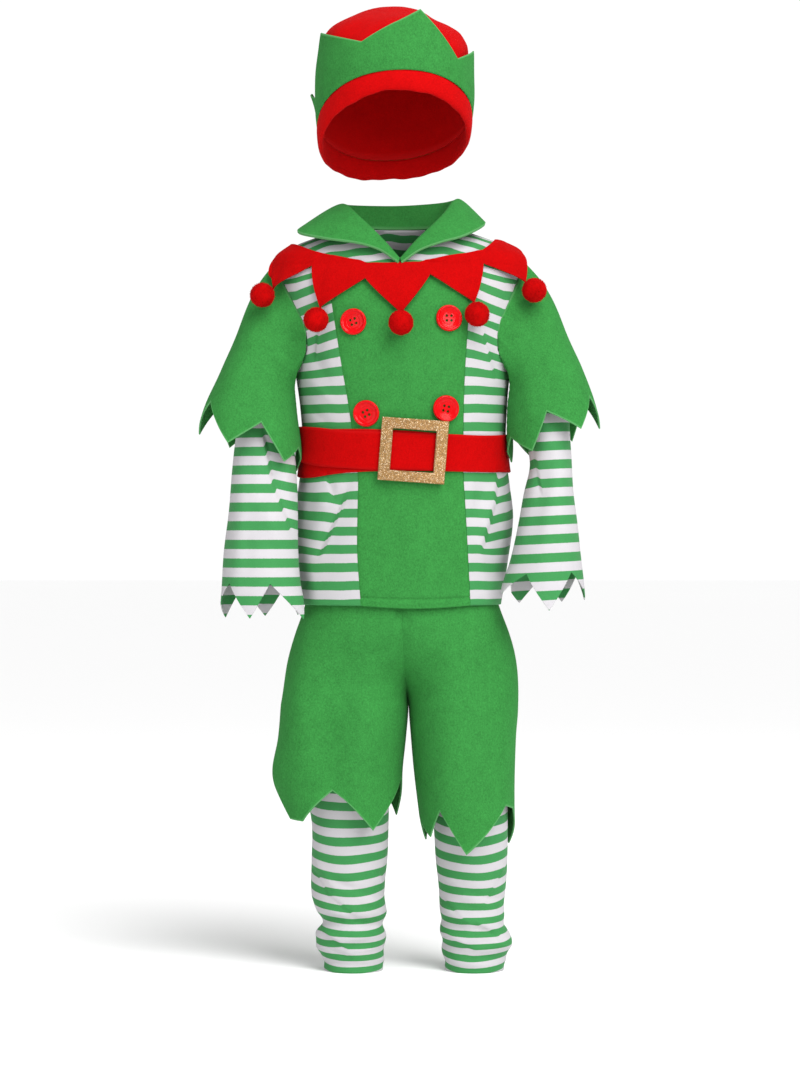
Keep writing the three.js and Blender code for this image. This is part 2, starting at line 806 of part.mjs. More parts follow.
// Belt: one strip that starts under the buckle, goes round, passes behind it and lies over its start
const beltRun = table(
  ["angle", "top", "bottom", "lift"],
  [-375, -214, -255, 0.9],
  [-352, -210, -255, 0.9],
  [-330, -209, -257, 0.9],
  [-300, -209, -262, 0.9],
  [-270, -210, -260, 0.9],
  [-180, -212, -256, 0.9],
  [-90, -213, -255, 0.9],
  [-45, -216, -256, 0.9],
  [-10, -214, -255, 2],
  [12, -212, -254, 3.8],
  [28, -211, -252, 3.8],
  [50, -207, -249, 3.8],
  [72, -205, -244, 3.8],
  [84, -205, -243, 3.8],
);

function beltPoint(turned, share) {
  const [top, bottom] = ["top", "bottom"].map((name) => smoothAt(beltRun, name, turned));
  const z = THREE.MathUtils.lerp(top, bottom, share);
  return torsoPoint(-turned, z, smoothAt(beltRun, "lift", turned) + BELT_FELT);
}

function belt() {
  const [from, to] = [beltRun.rows.at(-1).angle, beltRun.rows[0].angle];
  const across = spread(from, to, BELT_STEPS);
  return wall(beltPoint, across, spread(0, 1, 2), BELT_FELT);
}

// Buckle: a square frame of board that follows the belt's curve
const buckleCentre = { x: 14.2, z: -233 };

function bucklePoint(x, z, out) {
  const turn = THREE.MathUtils.degToRad(BUCKLE_TURN);
  const worldX = buckleCentre.x + x * Math.cos(turn) - z * Math.sin(turn);
  const worldZ = buckleCentre.z + x * Math.sin(turn) + z * Math.cos(turn);
  return torsoPoint(torsoAngle(worldX, worldZ), worldZ, out);
}

function buckle() {
  const back = beltRun.rows.at(-1).lift + BELT_FELT + LAYER_GAP;
  const corners = [
    [-0.5, 0.5],
    [0.5, 0.5],
    [0.5, -0.5],
    [-0.5, -0.5],
  ];
  const sections = corners.flatMap(([fromX, fromZ], i) => {
    const [toX, toZ] = corners[(i + 1) % 4];
    return spread(0, 1, 4).slice(0, -1).map((share) => {
      const [x, z] = [THREE.MathUtils.lerp(fromX, toX, share), THREE.MathUtils.lerp(fromZ, toZ, share)];
      const outer = [x * BUCKLE_ACROSS, z * BUCKLE_HIGH];
      const inner = [x * (BUCKLE_ACROSS - 2 * BUCKLE_BAR), z * (BUCKLE_HIGH - 2 * BUCKLE_BAR)];
      const front = back + BUCKLE_THICK;
      return [
        bucklePoint(...inner, front),
        bucklePoint(...inner, back),
        bucklePoint(...outer, back),
        bucklePoint(...outer, front),
      ];
    });
  });
  return ring(sections);
}

// Breeches: half of the seat above the crotch, a leg tube with an inside seam below it
const seat = table(
  ["z", "mid", "half", "front", "back"],
  [-225, 3, 97, 66, 70],
  [-300, 3, 104, 71, 75],
  [-360, 2, 107, 73, 76],
  [-400, 2, 109.5, 74, 77.6],
  [-440, 3, 122, 78, 80],
  [-480, 3, 131, 78, 81],
  [-523, 5, 135, 74, 79],
);
const legRings = {
  [RIGHT]: table(
    ["z", "mid", "half", "front", "back"],
    [-440, -62, 70, 72, 74],
    [-523, -64, 73, 68, 71],
    [-560, -67, 74, 67, 69],
    [-600, -72, 75, 66, 68],
    [-630, -68, 71, 66, 68],
    [-665, -63, 65, 65, 67],
  ),
  [LEFT]: table(
    ["z", "mid", "half", "front", "back"],
    [-440, 70, 63, 72, 74],
    [-523, 73, 62, 68, 71],
    [-560, 73, 60.5, 67, 69],
    [-600, 74, 58, 66, 68],
    [-650, 77, 55, 64, 66],
    [-700, 80, 52, 62, 64],
  ),
};
const legCut = {
  [RIGHT]: table(
    ["share", "z"],
    [0, -606],
    [0.07, -652],
    [0.16, -612],
    [0.26, -660],
    [0.36, -618],
    [0.44, -652],
    [0.5, -604],
    [0.58, -651],
    [0.64, -652],
    [0.74, -616],
    [0.83, -662],
    [0.97, -604],
    [1, -606],
  ),
  [LEFT]: table(
    ["share", "z"],
    [0, -650],
    [0.1, -671],
    [0.16, -640],
    [0.24, -689],
    [0.39, -635],
    [0.46, -640],
    [0.58, -685],
    [0.66, -644],
    [0.76, -690],
    [0.86, -640],
    [0.94, -680],
    [1, -650],
  ),
};
const CROTCH_RISE = 105;
const LEG_SEAM_DEGREES = 0.3;
// Folds begin this far forward of the middle and this far below the neck.
const BREECHES_FRONT = [5, 45];
const BREECHES_LOOSE = [415, 460];
const WAISTBAND_HALF = 11;
const WAISTBAND_THICK = 3;
const breechesFolds = foldList(
  [-122, -480, -112, -580, 20, 4],
  [-64, -470, -88, -610, 26, -4],
  [-36, -520, -46, -630, 24, 4],
  [60, -470, 50, -640, 26, 4],
  [96, -480, 102, -620, 22, -4],
);

function breechesPoint(side, share, z) {
  const seatAngle = side === LEFT ? 180 * share : -180 + 180 * share;
  const legAngle = side === LEFT ? -90 + 360 * share : -270 + 360 * share;
  const pinch = (0.5 - share) * 2;
  const onSeat = sectionPoint(sectionAt(seat, z), seatAngle + SEAM_DEGREES * pinch, z, TORSO_POWER);
  const legTurn = legAngle + LEG_SEAM_DEGREES * pinch;
  const onLeg = sectionPoint(sectionAt(legRings[side], z), legTurn, z, LEG_POWER);
  const closing = THREE.MathUtils.clamp((z - CROTCH_Z) / CROTCH_RISE, 0, 1);
  const point = onLeg.lerp(onSeat, Math.sin((Math.PI / 2) * closing));
  const onFront = THREE.MathUtils.smoothstep(-point.y, ...BREECHES_FRONT);
  const facing = onFront * THREE.MathUtils.smoothstep(-z, ...BREECHES_LOOSE);
  point.y -= facing * foldHeight(breechesFolds, point.x, z);
  return point;
}

function breeches(side) {
  const surface = (share, level) => {
    const hem = straightAt(legCut[side], "z", share);
    const z = level >= 0 ? THREE.MathUtils.lerp(BREECHES_SEAM_Z, hem, level) : level;
    return breechesPoint(side, share, z);
  };
  const top = WAIST_Z + 1 - WAISTBAND_HALF - LAYER_GAP;
  const seatLevels = [top, -300, -360, -395, -418, -440, -462, -484, -504, CROTCH_Z, BREECHES_SEAM_Z];
  return wall(surface, keysOf(legCut[side], 2), [...seatLevels, 0.5, 1], FELT);
}

function waistband() {
  const surface = (angle, z) => sectionPoint(sectionAt(seat, z, SEAM_HALF), angle, z, TORSO_POWER);
  const rows = [WAIST_Z + 1 + WAISTBAND_HALF, WAIST_Z, WAIST_Z + 1 - WAISTBAND_HALF];
  return wall(surface, spread(-180, 170, 35), rows, WAISTBAND_THICK, true);
}

// Leggings: sewn round inside the breeches, close on the calf and bunched at the ankle
const leggingRings = {
  [RIGHT]: table(
    ["z", "mid", "half", "front", "back", "midY"],
    [-575, -69, 70, 60, 66.2, 0],
    [-598, -66, 60, 56, 58, 2],
    [-625, -61, 49, 48, 52, 4],
    [-656, -57.5, 44.5, 44, 50, 6],
    [-700, -58, 43.5, 42, 50, 8],
    [-742, -60, 42, 40, 47, 9],
    [-760, -56, 40, 38, 42, 8],
    [-774, -54, 35, 35, 39, 8],
    [-786, -57, 39.5, 38, 42, 8],
    [-800, -57, 40, 39, 42, 8],
    [-810, -54.5, 35.5, 36, 38, 8],
    [-828, -53.5, 34, 35, 37, 8],
  ),
  [LEFT]: table(
    ["z", "mid", "half", "front", "back", "midY"],
    [-575, 73.5, 55.5, 59, 66.2, 0],
    [-598, 76, 52, 56, 58, 2],
    [-625, 79, 46, 48, 52, 4],
    [-656, 81, 43, 44, 50, 6],
    [-700, 82.5, 41.5, 42, 49, 8],
    [-735, 83.5, 38.5, 39, 46, 9],
    [-750, 83, 37.5, 37, 42, 8],
    [-772, 83.5, 37, 36, 39, 8],
    [-786, 86, 39, 38, 41, 8],
    [-800, 88.5, 40.5, 39, 42, 8],
    [-812, 86, 35.5, 36, 38, 8],
    [-828, 85.5, 34, 35, 37, 8],
  ),
};
const leggingRows = [-575, -598, -625, -656, -700, -740, -758, -773, -786, -799, -811, ANKLE_Z];

function legging(side) {
  const surface = (angle, z) => sectionPoint(sectionAt(leggingRings[side], z), angle, z);
  return wall(surface, spread(-180, 160, 17), leggingRows, STRIPED_CLOTH, true);
}

// Hat: a rolled rim that rises to the front, a jagged turned-up band and a soft crown
const hatHalf = table(["z", "mid", "half", "front", "back"],
  [90, -7, 84, 88, 96],
  [130, -7, 88, 92, 98],
  [165, -6, 90, 97, 100],
  [200, -7, 90, 100, 100],
  [230, -6, 89, 99, 98],
  [280, -5, 87, 96, 95],
);
const bandCut = table(
  ["angle", "top", "flare"],
  [-196, 160, 0],
  [-160, 206, 3],
  [-132, 158, 0],
  [-112, 185, 13],
  [-93, 174, 0],
  [-72, 244, 0],
  [-23, 225, 0],
  [17, 261, 1],
  [52, 210, 0],
  [82, 226, 2],
  [108, 172, 0],
  [136, 212, 4],
  [164, 160, 0],
);
const RIM_HIGH = 22;
const RIM_SIDE_HIGH = 6;
const RIM_IN = 3;
const RIM_ROUND = 3.6;
const BAND_SWELL = 1.5;
const BAND_GAP = 0.6;
// The rim's top edge rises to the front, less so to the back, and a little towards the wearer's left.
const RIM_MIDDLE_Z = 148;
const RIM_RISE = { front: 45, back: 34, side: 6 };

function rimTop(angle) {
  const turn = THREE.MathUtils.degToRad(angle);
  const rise = Math.cos(turn) > 0 ? RIM_RISE.front : RIM_RISE.back;
  return RIM_MIDDLE_Z + rise * Math.cos(turn) + RIM_RISE.side * Math.sin(turn);
}

function hatPoint(angle, z, out) {
  return sectionPoint(sectionAt(hatHalf, z, out), angle, z, HAT_POWER);
}

function hatBand() {
  const surface = (angle, share) => {
    const z = THREE.MathUtils.lerp(straightAt(bandCut, "top", angle), rimTop(angle) + BAND_GAP, share);
    const flare = smoothAt(bandCut, "flare", angle) * (1 - share) ** 2;
    return hatPoint(angle, z, flare + BAND_SWELL * Math.sin(Math.PI * share));
  };
  return wall(surface, keysOf(bandCut, 3).slice(0, -1), spread(0, 1, 4), FELT, true);
}

function hatRim() {
  const sides = 8;
  const sections = spread(-180, 170, 35).map((angle) => {
    const sideways = Math.abs(Math.sin(THREE.MathUtils.degToRad(angle)));
    const high = RIM_HIGH + RIM_SIDE_HIGH * sideways;
    return spread(0, 360 - 360 / sides, sides - 1).map((around) => {
      const turn = THREE.MathUtils.degToRad(around);
      const z = rimTop(angle) - high / 2 + 0.5 * high * roundPower(Math.sin(turn), RIM_POWER);
      return hatPoint(angle, z, -RIM_IN - RIM_ROUND * roundPower(Math.cos(turn), RIM_POWER));
    });
  });
  return ring(sections);
}

const crownRings = table(
  ["z", "mid", "half", "front", "back", "midY"],
  [205, -7, 87, 97, 96, 0],
  [225, -8, 87, 94, 94, 0],
  [240, -9, 83, 87, 90, 2],
  [255, -11, 70, 72, 78, 6],
  [268, -10, 47, 48, 56, 10],
  [278, -8, 24, 24, 30, 12],
  [282, -7, 0, 0, 0, 12],
);
const CROWN_GAP = 0.9;
const CROWN_TUCK = -2.5;
const CROWN_TUCK_Z = 212;
const CROWN_SLUMP = { z: 230, share: 0.02, lobes: 5 };
const CROWN_TIP_HALF = 10;
const crownLevels = [0, 0.35, 0.7, 1, 225, 240, 255, 268, 278, 282];

function crownPoint(angle, level) {
  const inBand = level <= 1;
  const z = inBand ? THREE.MathUtils.lerp(rimTop(angle) + CROWN_GAP, CROWN_TUCK_Z, level) : level;
  const free = (z - CROWN_TUCK_Z) / (crownRings.rows.at(-1).z - CROWN_TUCK_Z);
  const tuck = inBand ? CROWN_TUCK : CROWN_TUCK * (1 - free);
  const row = { midY: 0, ...sectionAt(inBand ? hatHalf : crownRings, z) };
  const lobes = Math.sin(THREE.MathUtils.degToRad(CROWN_SLUMP.lobes * angle));
  const soft = 1 + (z > CROWN_SLUMP.z ? CROWN_SLUMP.share * lobes : 0);
  const reach = { ...row, half: row.half * soft, front: row.front * soft, back: row.back * soft };
  if (row.half > CROWN_TIP_HALF) ["half", "front", "back"].forEach((name) => (reach[name] += tuck));
  return sectionPoint(reach, angle, z, HAT_POWER);
}

function hatCrown() {
  return bag(crownPoint, spread(-180, 162, 19), crownLevels, FELT);
}

// The whole costume
const costume = new THREE.Group();

function add(name, geometry, material) {
  const mesh = new THREE.Mesh(geometry, material);
  mesh.name = name;
  costume.add(mesh);
  return mesh;
}

add("hat_crown", hatCrown(), hatRed);
add("hat_band", hatBand(), greenFelt);
add("hat_rim", hatRim(), hatRed);

function nearestCorner({ geometry }, point) {
  const { count } = geometry.attributes.position;
  const corner = (i) => new THREE.Vector3().fromBufferAttribute(geometry.attributes.position, i);
  const nearest = (best, next) => (next.distanceTo(point) < best.distanceTo(point) ? next : best);
  return Array.from({ length: count }, (_, i) => corner(i)).reduce(nearest);
}

const underJester = [add("tunic_back", tunicBack(), striped), add("tunic_front", centreFront(), greenFelt)];
add("waistband", waistband(), greenFelt);
for (const [side, name] of [[RIGHT, "right"], [LEFT, "left"]]) {
  underJester.push(add(`tunic_side_${name}`, sideFront(side), striped));
  underJester.push(add(`oversleeve_${name}`, oversleeve(side), greenFelt));
  add(`undersleeve_${name}`, undersleeve(side), striped);
  add(`breeches_${name}`, breeches(side), greenFelt);
  add(`legging_${name}`, legging(side), striped);
}
add("collar", collar(), greenFelt);
costume.updateMatrixWorld(true);

const jester = add("jester_collar", jesterCollar(underJester), redFelt);
pompomAngles.forEach((angle, i) => {
  const rise = straightAt(jesterCut, "rise", angle);
  const tip = nearestCorner(jester, rayPoint([jester], angle, rise + TIP_RISE, 0));
  const near = (aside, up) => rayPoint(underJester, angle + aside, rise + up, 0);
  const aside = near(5, 0).sub(near(-5, 0)).normalize();
  const down = near(0, -5).sub(near(0, 5)).normalize();
  const middle = tip.clone().addScaledVector(down.clone().cross(aside).normalize(), POMPOM_SEAT.out);
  middle.addScaledVector(down, POMPOM_SEAT.down);
  const ball = add(`pompom_${i + 1}`, pompom(middle.distanceTo(tip) - SEAM_GAP), redFelt);
  ball.position.copy(middle);
  ball.quaternion.setFromUnitVectors(LOCK_DIRECTION, tip.sub(middle).normalize());
});

for (const { number, x, z } of buttonPlaces.rows) {
  seatOnTunic(add(`button_${number}`, button(), redPlastic), x, z, LAYER_GAP);
}
add("belt", belt(), redFelt);
add("buckle", buckle(), goldGlitter);

export default costume;
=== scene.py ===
"""Looks of an elf costume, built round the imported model.

Tables are in millimetres and hold the same forms as the solids. Meshes are made in metres.
+Z is up, the front faces -Y and the wearer's right is -X.
"""

import math

import bmesh
import bpy
import numpy as np
from bpy.props import FloatProperty, FloatVectorProperty, IntProperty, PointerProperty
from mathutils import Matrix, Quaternion, Vector
from mathutils.bvhtree import BVHTree


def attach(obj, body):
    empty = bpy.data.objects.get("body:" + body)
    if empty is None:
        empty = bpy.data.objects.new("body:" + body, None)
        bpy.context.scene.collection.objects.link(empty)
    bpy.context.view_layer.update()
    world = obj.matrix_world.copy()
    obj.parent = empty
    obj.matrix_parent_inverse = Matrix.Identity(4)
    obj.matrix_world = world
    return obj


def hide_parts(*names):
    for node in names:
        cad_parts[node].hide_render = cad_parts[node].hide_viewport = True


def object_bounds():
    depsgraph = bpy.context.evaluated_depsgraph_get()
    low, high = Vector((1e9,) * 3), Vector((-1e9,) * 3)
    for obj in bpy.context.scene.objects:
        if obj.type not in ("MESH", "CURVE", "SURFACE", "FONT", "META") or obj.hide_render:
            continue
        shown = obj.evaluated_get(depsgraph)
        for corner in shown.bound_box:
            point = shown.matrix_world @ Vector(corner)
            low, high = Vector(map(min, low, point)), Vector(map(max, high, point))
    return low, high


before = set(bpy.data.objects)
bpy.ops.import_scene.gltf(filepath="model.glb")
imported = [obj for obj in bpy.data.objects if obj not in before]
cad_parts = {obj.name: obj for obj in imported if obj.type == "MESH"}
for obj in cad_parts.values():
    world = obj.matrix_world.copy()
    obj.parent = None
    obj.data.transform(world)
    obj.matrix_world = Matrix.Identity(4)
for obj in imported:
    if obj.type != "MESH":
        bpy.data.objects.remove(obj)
CAD_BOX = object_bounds()

bl_info = {
    "name": "Elf costume",
    "version": (1, 0, 0),
    "blender": (4, 5, 0),
    "location": "3D View > Sidebar > Costume",
    "description": "Dresses the packed elf costume in felt, striped cloth, pompoms, buttons and a belt",
    "category": "Add Mesh",
}

MM = 0.001
BODY = "root"
RIGHT, LEFT = -1, 1
SIDES = {RIGHT: "right", LEFT: "left"}

# Lines of the garment in millimetres, and the powers of its rounded sections
FRONT_TOP_Z = -26
YOKE_RISE = 5
SHOULDER_Z = -12
UNDERARM_Z = -142
TUNIC_HEM_Z = -407
WAIST_Z = -236
CROTCH_Z = -523
BREECHES_SEAM_Z = -560
ANKLE_Z = -828
ARMHOLE_DROP = 77
CROTCH_RISE = 105
TORSO_POWER = 2.3
LEG_POWER = 2.2
HAT_POWER = 2.15
SEAM_DEGREES = 0.1
SEAM_CLOSED = 0.015
CHEST_MIDDLE = np.array([0.0, 0.0, -80.0])


# Settings a user would change

class ElfClothSettings(bpy.types.PropertyGroup):
    """Thickness and colours of the costume's cloth."""

    felt: FloatProperty(name="Felt", description="Thickness of the felt",
                        default=0.0018, min=0.0005, unit="LENGTH")
    striped: FloatProperty(name="Striped cloth", description="Thickness of the striped cloth",
                           default=0.0011, min=0.0004, unit="LENGTH")
    belt: FloatProperty(name="Belt felt", description="Thickness of the belt's felt",
                        default=0.002, min=0.0005, unit="LENGTH")
    stripe_pitch: FloatProperty(name="Stripe pitch", description="A green and a white stripe together",
                                default=0.02045, min=0.004, unit="LENGTH")
    green: FloatVectorProperty(name="Green felt", description="Colour of the green felt",
                               default=(0.030, 0.190, 0.038), subtype="COLOR", min=0, max=1)
    red: FloatVectorProperty(name="Red felt", description="Colour of the jester collar, belt and pompoms",
                             default=(0.375, 0.0006, 0.0008), subtype="COLOR", min=0, max=1)
    # The hat's red is the red felt made lighter: the extra lightness is painted sheen taken from the
    # crown, and the rim takes it too
    hat_red: FloatVectorProperty(name="Hat red", description="Colour of the hat's red felt",
                                 default=(0.43, 0.0012, 0.0016), subtype="COLOR", min=0, max=1)
    stripe_green: FloatVectorProperty(name="Stripe green", description="Colour of the green stripes",
                                      default=(0.034, 0.215, 0.058), subtype="COLOR", min=0, max=1)
    stripe_white: FloatVectorProperty(name="Stripe white", description="Colour of the white stripes",
                                      default=(0.465, 0.450, 0.470), subtype="COLOR", min=0, max=1)
    nap: FloatProperty(name="Nap", description="How far the felt's nap is raised",
                       default=0.0004, min=0, unit="LENGTH")


class ElfTrimSettings(bpy.types.PropertyGroup):
    """Sizes and colours of the pompoms, buttons and buckle."""

    button: FloatProperty(name="Button", description="Diameter of a button",
                          default=0.030, min=0.01, unit="LENGTH")
    pompom: FloatProperty(name="Pompom", description="Diameter of a pompom",
                          default=0.030, min=0.01, unit="LENGTH")
    fibres: IntProperty(name="Fibres", description="Loose fibres on each pompom", default=1000, min=0)
    buckle: FloatVectorProperty(name="Buckle", description="Width, height and bar of the buckle",
                                default=(0.070, 0.071, 0.012), subtype="XYZ", unit="LENGTH")
    button_red: FloatVectorProperty(name="Button red", description="Colour of the buttons",
                                    default=(0.53, 0.002, 0.004), subtype="COLOR", min=0, max=1)
    gold: FloatVectorProperty(name="Gold", description="Colour of the buckle's glitter",
                              default=(0.34, 0.186, 0.064), subtype="COLOR", min=0, max=1)


class ElfStageSettings(bpy.types.PropertyGroup):
    """Camera, floor and lights."""

    distance: FloatProperty(name="Camera distance", description="From the camera to the costume",
                            default=3.6, min=1, unit="LENGTH")
    eye: FloatProperty(name="Camera height", description="Height of the camera over the base of the neck",
                       default=-0.326, unit="LENGTH")
    half_height: FloatProperty(name="Half view", description="Half of the height that the picture shows",
                               default=0.6135, min=0.1, unit="LENGTH")
    key: FloatProperty(name="Key light", description="Power of the main soft light", default=44, min=0,
                       unit="POWER")
    fill: FloatProperty(name="Fill light", description="Power of the second soft light", default=17,
                        min=0, unit="POWER")
    sky: FloatProperty(name="Surroundings", description="Light from the pale surroundings",
                       default=0.42, min=0)
    even: FloatProperty(name="Even light", description="Strength of the broad light on costume and floor",
                        default=2.36, min=0)


# Tables: the first column is the key, and the others are read over it

class Table:
    """Rows of named columns, read as smooth curves or straight lines over the first one."""

    def __init__(self, names, *rows):
        columns = np.array(sorted(rows), float).T
        self.columns = dict(zip(names.split(), columns))
        self.key = columns[0]

    def bracket(self, at):
        i = np.clip(np.searchsorted(self.key, at), 1, len(self.key) - 1)
        span = self.key[i] - self.key[i - 1]
        return i, span, np.clip((at - self.key[i - 1]) / span, 0, 1)

    def straight(self, name, at):
        return np.interp(at, self.key, self.columns[name])

    def smooth(self, name, at):
        values = self.columns[name]
        i, span, t = self.bracket(np.asarray(at, float))
        before, after = np.maximum(i - 2, 0), np.minimum(i + 1, len(values) - 1)
        start = (values[i] - values[before]) / (self.key[i] - self.key[before]) * span
        end = (values[after] - values[i - 1]) / (self.key[after] - self.key[i - 1]) * span
        low, high = values[i - 1], values[i]
        return (
            (2 * t**3 - 3 * t**2 + 1) * low
            + (t**3 - 2 * t**2 + t) * start
            + (3 * t**2 - 2 * t**3) * high
            + (t**3 - t**2) * end
        )

    def keys(self, steps):
        """The key values with each stretch split in equal steps, so that a cut edge keeps its corners."""
        parts = [np.linspace(a, b, steps, endpoint=False) for a, b in zip(self.key, self.key[1:])]
        return np.concatenate([*parts, self.key[-1:]])


def smoothstep(value, low, high):
    t = np.clip((value - low) / (high - low), 0, 1)
    return t * t * (3 - 2 * t)


def lerp(a, b, t):
    return a + (b - a) * t


def shares(count):
    """Even steps from 0 to 1, along or across a piece."""
    return np.linspace(0, 1, count)


def whole_turn(count):
    """Angles once round a piece, with the seam's angle at both ends."""
    return np.linspace(-180, 180, count)


def round_power(value, power):
    return np.sign(value) * np.abs(value) ** (2 / power)


def section_at(table, at, out=0.0):
    """A table's row at a key, with its half width and depths grown by out."""
    row = {name: table.smooth(name, at) for name in table.columns}
    for name in ("half", "front", "back"):
        row[name] = row[name] + out
    return row


def section_point(row, angle, z, power=2.0):
    """A point of a closed section: angle 0 is the front, 90 the +X side, 180 the back."""
    turn = np.radians(angle)
    depth = np.where(np.cos(turn) > 0, row["front"], row["back"])
    x = row["mid"] + row["half"] * round_power(np.sin(turn), power)
    y = row.get("midY", 0) - depth * round_power(np.cos(turn), power)
    return np.stack(np.broadcast_arrays(x, y, z), axis=-1)


# Folds: each is a line seen from the front, with how wide it is and how far it stands out.
# A pleat is one-sided: the cloth on its left or right side drops away and its stripes slip.

# How high a fold is at its ends and which part of an arch it follows. Where along a pleat it opens and
# closes, in shares of its length, and across which millimetres its cloth drops and its stripes slip.
FOLD_END_SHARE = 0.35
FOLD_ARCH = (0.1, 0.9)
PLEAT_STARTS = (-0.12, 0.15)
PLEAT_ENDS = (0.8, 1.12)
PLEAT_DROPS = (-0.6, 2.2)
PLEAT_SLIPS = (-1.4, 2.4)


def fold_height(folds, x, z):
    height = np.zeros_like(x)
    for from_x, from_z, to_x, to_z, width, rise in folds:
        along_x, along_z = to_x - from_x, to_z - from_z
        share = ((x - from_x) * along_x + (z - from_z) * along_z) / (along_x**2 + along_z**2)
        share = np.clip(share, 0, 1)
        away = np.hypot(x - from_x - along_x * share, z - from_z - along_z * share) / width
        arch = np.sin(np.pi * lerp(*FOLD_ARCH, share))
        height += rise * lerp(FOLD_END_SHARE, 1, arch) * np.exp(-away**2)
    return height


def pleat_lines(pleats, x, z):
    """Depth and stripe slip of one-sided pleats, whose cloth drops away on the low side of the line."""
    depth, slip = np.zeros_like(x), np.zeros_like(x)
    for from_x, from_z, to_x, to_z, low_side, width, drop, shift in pleats:
        length = math.hypot(to_x - from_x, to_z - from_z)
        along_x, along_z = (to_x - from_x) / length, (to_z - from_z) / length
        share = ((x - from_x) * along_x + (z - from_z) * along_z) / length
        aside = low_side * ((x - from_x) * -along_z + (z - from_z) * along_x)
        fade = smoothstep(share, *PLEAT_STARTS) * (1 - smoothstep(share, *PLEAT_ENDS))
        fade = fade * np.exp(-np.maximum(aside, 0) / width)
        depth += drop * smoothstep(aside, *PLEAT_DROPS) * fade
        slip += shift * smoothstep(aside, *PLEAT_SLIPS) * fade
    return depth, slip


WAVES = [
    (0.031, 0.012, 0.023, 0.4), (-0.017, 0.029, 0.037, 1.9), (0.043, -0.035, 0.011, 3.1),
    (0.067, 0.041, -0.059, 0.8), (-0.052, 0.071, 0.047, 2.4),
]


def unevenness(point, height, scale=1.0):
    """Gentle unevenness of hanging cloth: a sum of slow waves through space."""
    total = sum(
        np.sin(scale * (point[..., 0] * a + point[..., 1] * b + point[..., 2] * c) + start)
        for a, b, c, start in WAVES
    )
    return height * total / len(WAVES)


# Meshes

EDGE_ROUND = 0.4


def unit(vectors):
    return vectors / np.maximum(np.linalg.norm(vectors, axis=-1, keepdims=True), 1e-9)


def normals_of(grid, closed):
    """Outward normals of a grid of points whose rows go down the cloth and whose columns go round it."""
    if closed:
        along = np.roll(grid, -1, 1) - np.roll(grid, 1, 1)
    else:
        along = np.gradient(grid, axis=1)
    return unit(np.cross(np.gradient(grid, axis=0), along))


def shell(name, outer, thick, closed, lie, bulge=None, cut=(1, 1)):
    """A thin closed shell of cloth with rounded upper and lower edges.

    outer is the outside grid in millimetres, thick the cloth's thickness, and lie each point's place on
    the flat cloth. A closed grid has its first column again as its last one in lie only. bulge is how far
    each outside point is raised. cut tells which of the upper and lower edges is cut rather than folded.
    """
    normal = normals_of(outer, closed)
    inner = outer - thick * normal
    if bulge is not None:
        outer = outer + bulge[..., None] * normal
    ends = []
    for edge, beside in ((-1, -2), (0, 1)):
        away = unit(outer[edge] - outer[beside])
        ends.append((outer[edge] + inner[edge]) / 2 + EDGE_ROUND * thick * away)
    loop = np.concatenate([outer, ends[0][None], inner[::-1], ends[1][None]])
    flat = np.concatenate([lie, lie[-1:], lie[::-1], lie[:1]])
    rows, columns = loop.shape[:2]
    index = np.arange(rows * columns).reshape(rows, columns)
    index = np.concatenate([index, index[:1]])
    flat = np.concatenate([flat, flat[:1]])
    if closed:
        index = np.concatenate([index, index[:, :1]], axis=1)
    faces, places = corners_of(index), corners_of(flat)
    faces, places = faces.tolist(), places.reshape(-1, 2)
    if not closed:
        caps, cap_places = cap_faces(index, flat, len(outer))
        faces += caps
        places = np.concatenate([places, cap_places])
    thing = mesh_object(name, loop.reshape(-1, 3) * MM, faces, places * MM)
    edge = np.zeros((rows, columns), np.float32)
    last = len(outer) - 1
    edge[[0, rows - 2, rows - 1]] = cut[0]
    edge[[last, last + 1, last + 2]] = cut[1]
    marks = thing.data.attributes.new("cut_edge", "FLOAT", "POINT")
    marks.data.foreach_set("value", edge.ravel())
    return thing


def corners_of(grid):
    """The four corners of each cell of a grid, in the order that faces out."""
    cells = np.stack([grid[:-1, :-1], grid[1:, :-1], grid[1:, 1:], grid[:-1, 1:]], axis=2)
    return cells.reshape(-1, 4, *grid.shape[2:])


def cap_faces(index, flat, count):
    """Closes an open shell's two sides, each between its outer and its inner rows."""
    faces, places = [], []
    total = 2 * count + 2
    for column, turned in ((0, False), (index.shape[1] - 1, True)):
        strips = [[k + 1, k, total - 2 - k, total - 3 - k] for k in range(count - 1)]
        strips.append([count + 1, count, count - 1])
        strips.append([0, total - 1, total - 2])
        for rows in strips:
            rows = rows[::-1] if turned else rows
            faces.append([int(index[row, column]) for row in rows])
            places += [flat[row, column] for row in rows]
    return faces, np.array(places)


def mesh_object(name, points, faces, places=None, smooth_below=55):
    mesh = bpy.data.meshes.new(name)
    mesh.from_pydata(points.tolist() if hasattr(points, "tolist") else points, [], faces)
    if places is not None:
        layer = mesh.uv_layers.new(name="cloth")
        layer.data.foreach_set("uv", np.asarray(places, np.float32).ravel())
    mesh.shade_smooth()
    mesh.set_sharp_from_angle(angle=math.radians(smooth_below))
    thing = bpy.data.objects.new(name, mesh)
    bpy.context.scene.collection.objects.link(thing)
    return thing


def cloth(name, surface, across, down, thick, closed=False, cut=(1, 1)):
    """A piece of cloth over a grid: surface gives points and places on the flat cloth, in millimetres."""
    across, down = np.meshgrid(across, down)
    outer, lie = surface(across, down)[:2]
    if closed:
        outer = outer[:, :-1]
    return shell(name, outer, thick, closed, lie, cut=cut)


def ring_mesh(name, sections, smooth_below=55):
    """A closed ring of closed sections, each a loop of points."""
    index = np.arange(sections.shape[0] * sections.shape[1]).reshape(sections.shape[:2])
    index = np.concatenate([index, index[:1]])
    index = np.concatenate([index, index[:, :1]], axis=1)
    faces = corners_of(index.transpose(1, 0))
    return mesh_object(name, sections.reshape(-1, 3) * MM, faces.tolist(), None, smooth_below)


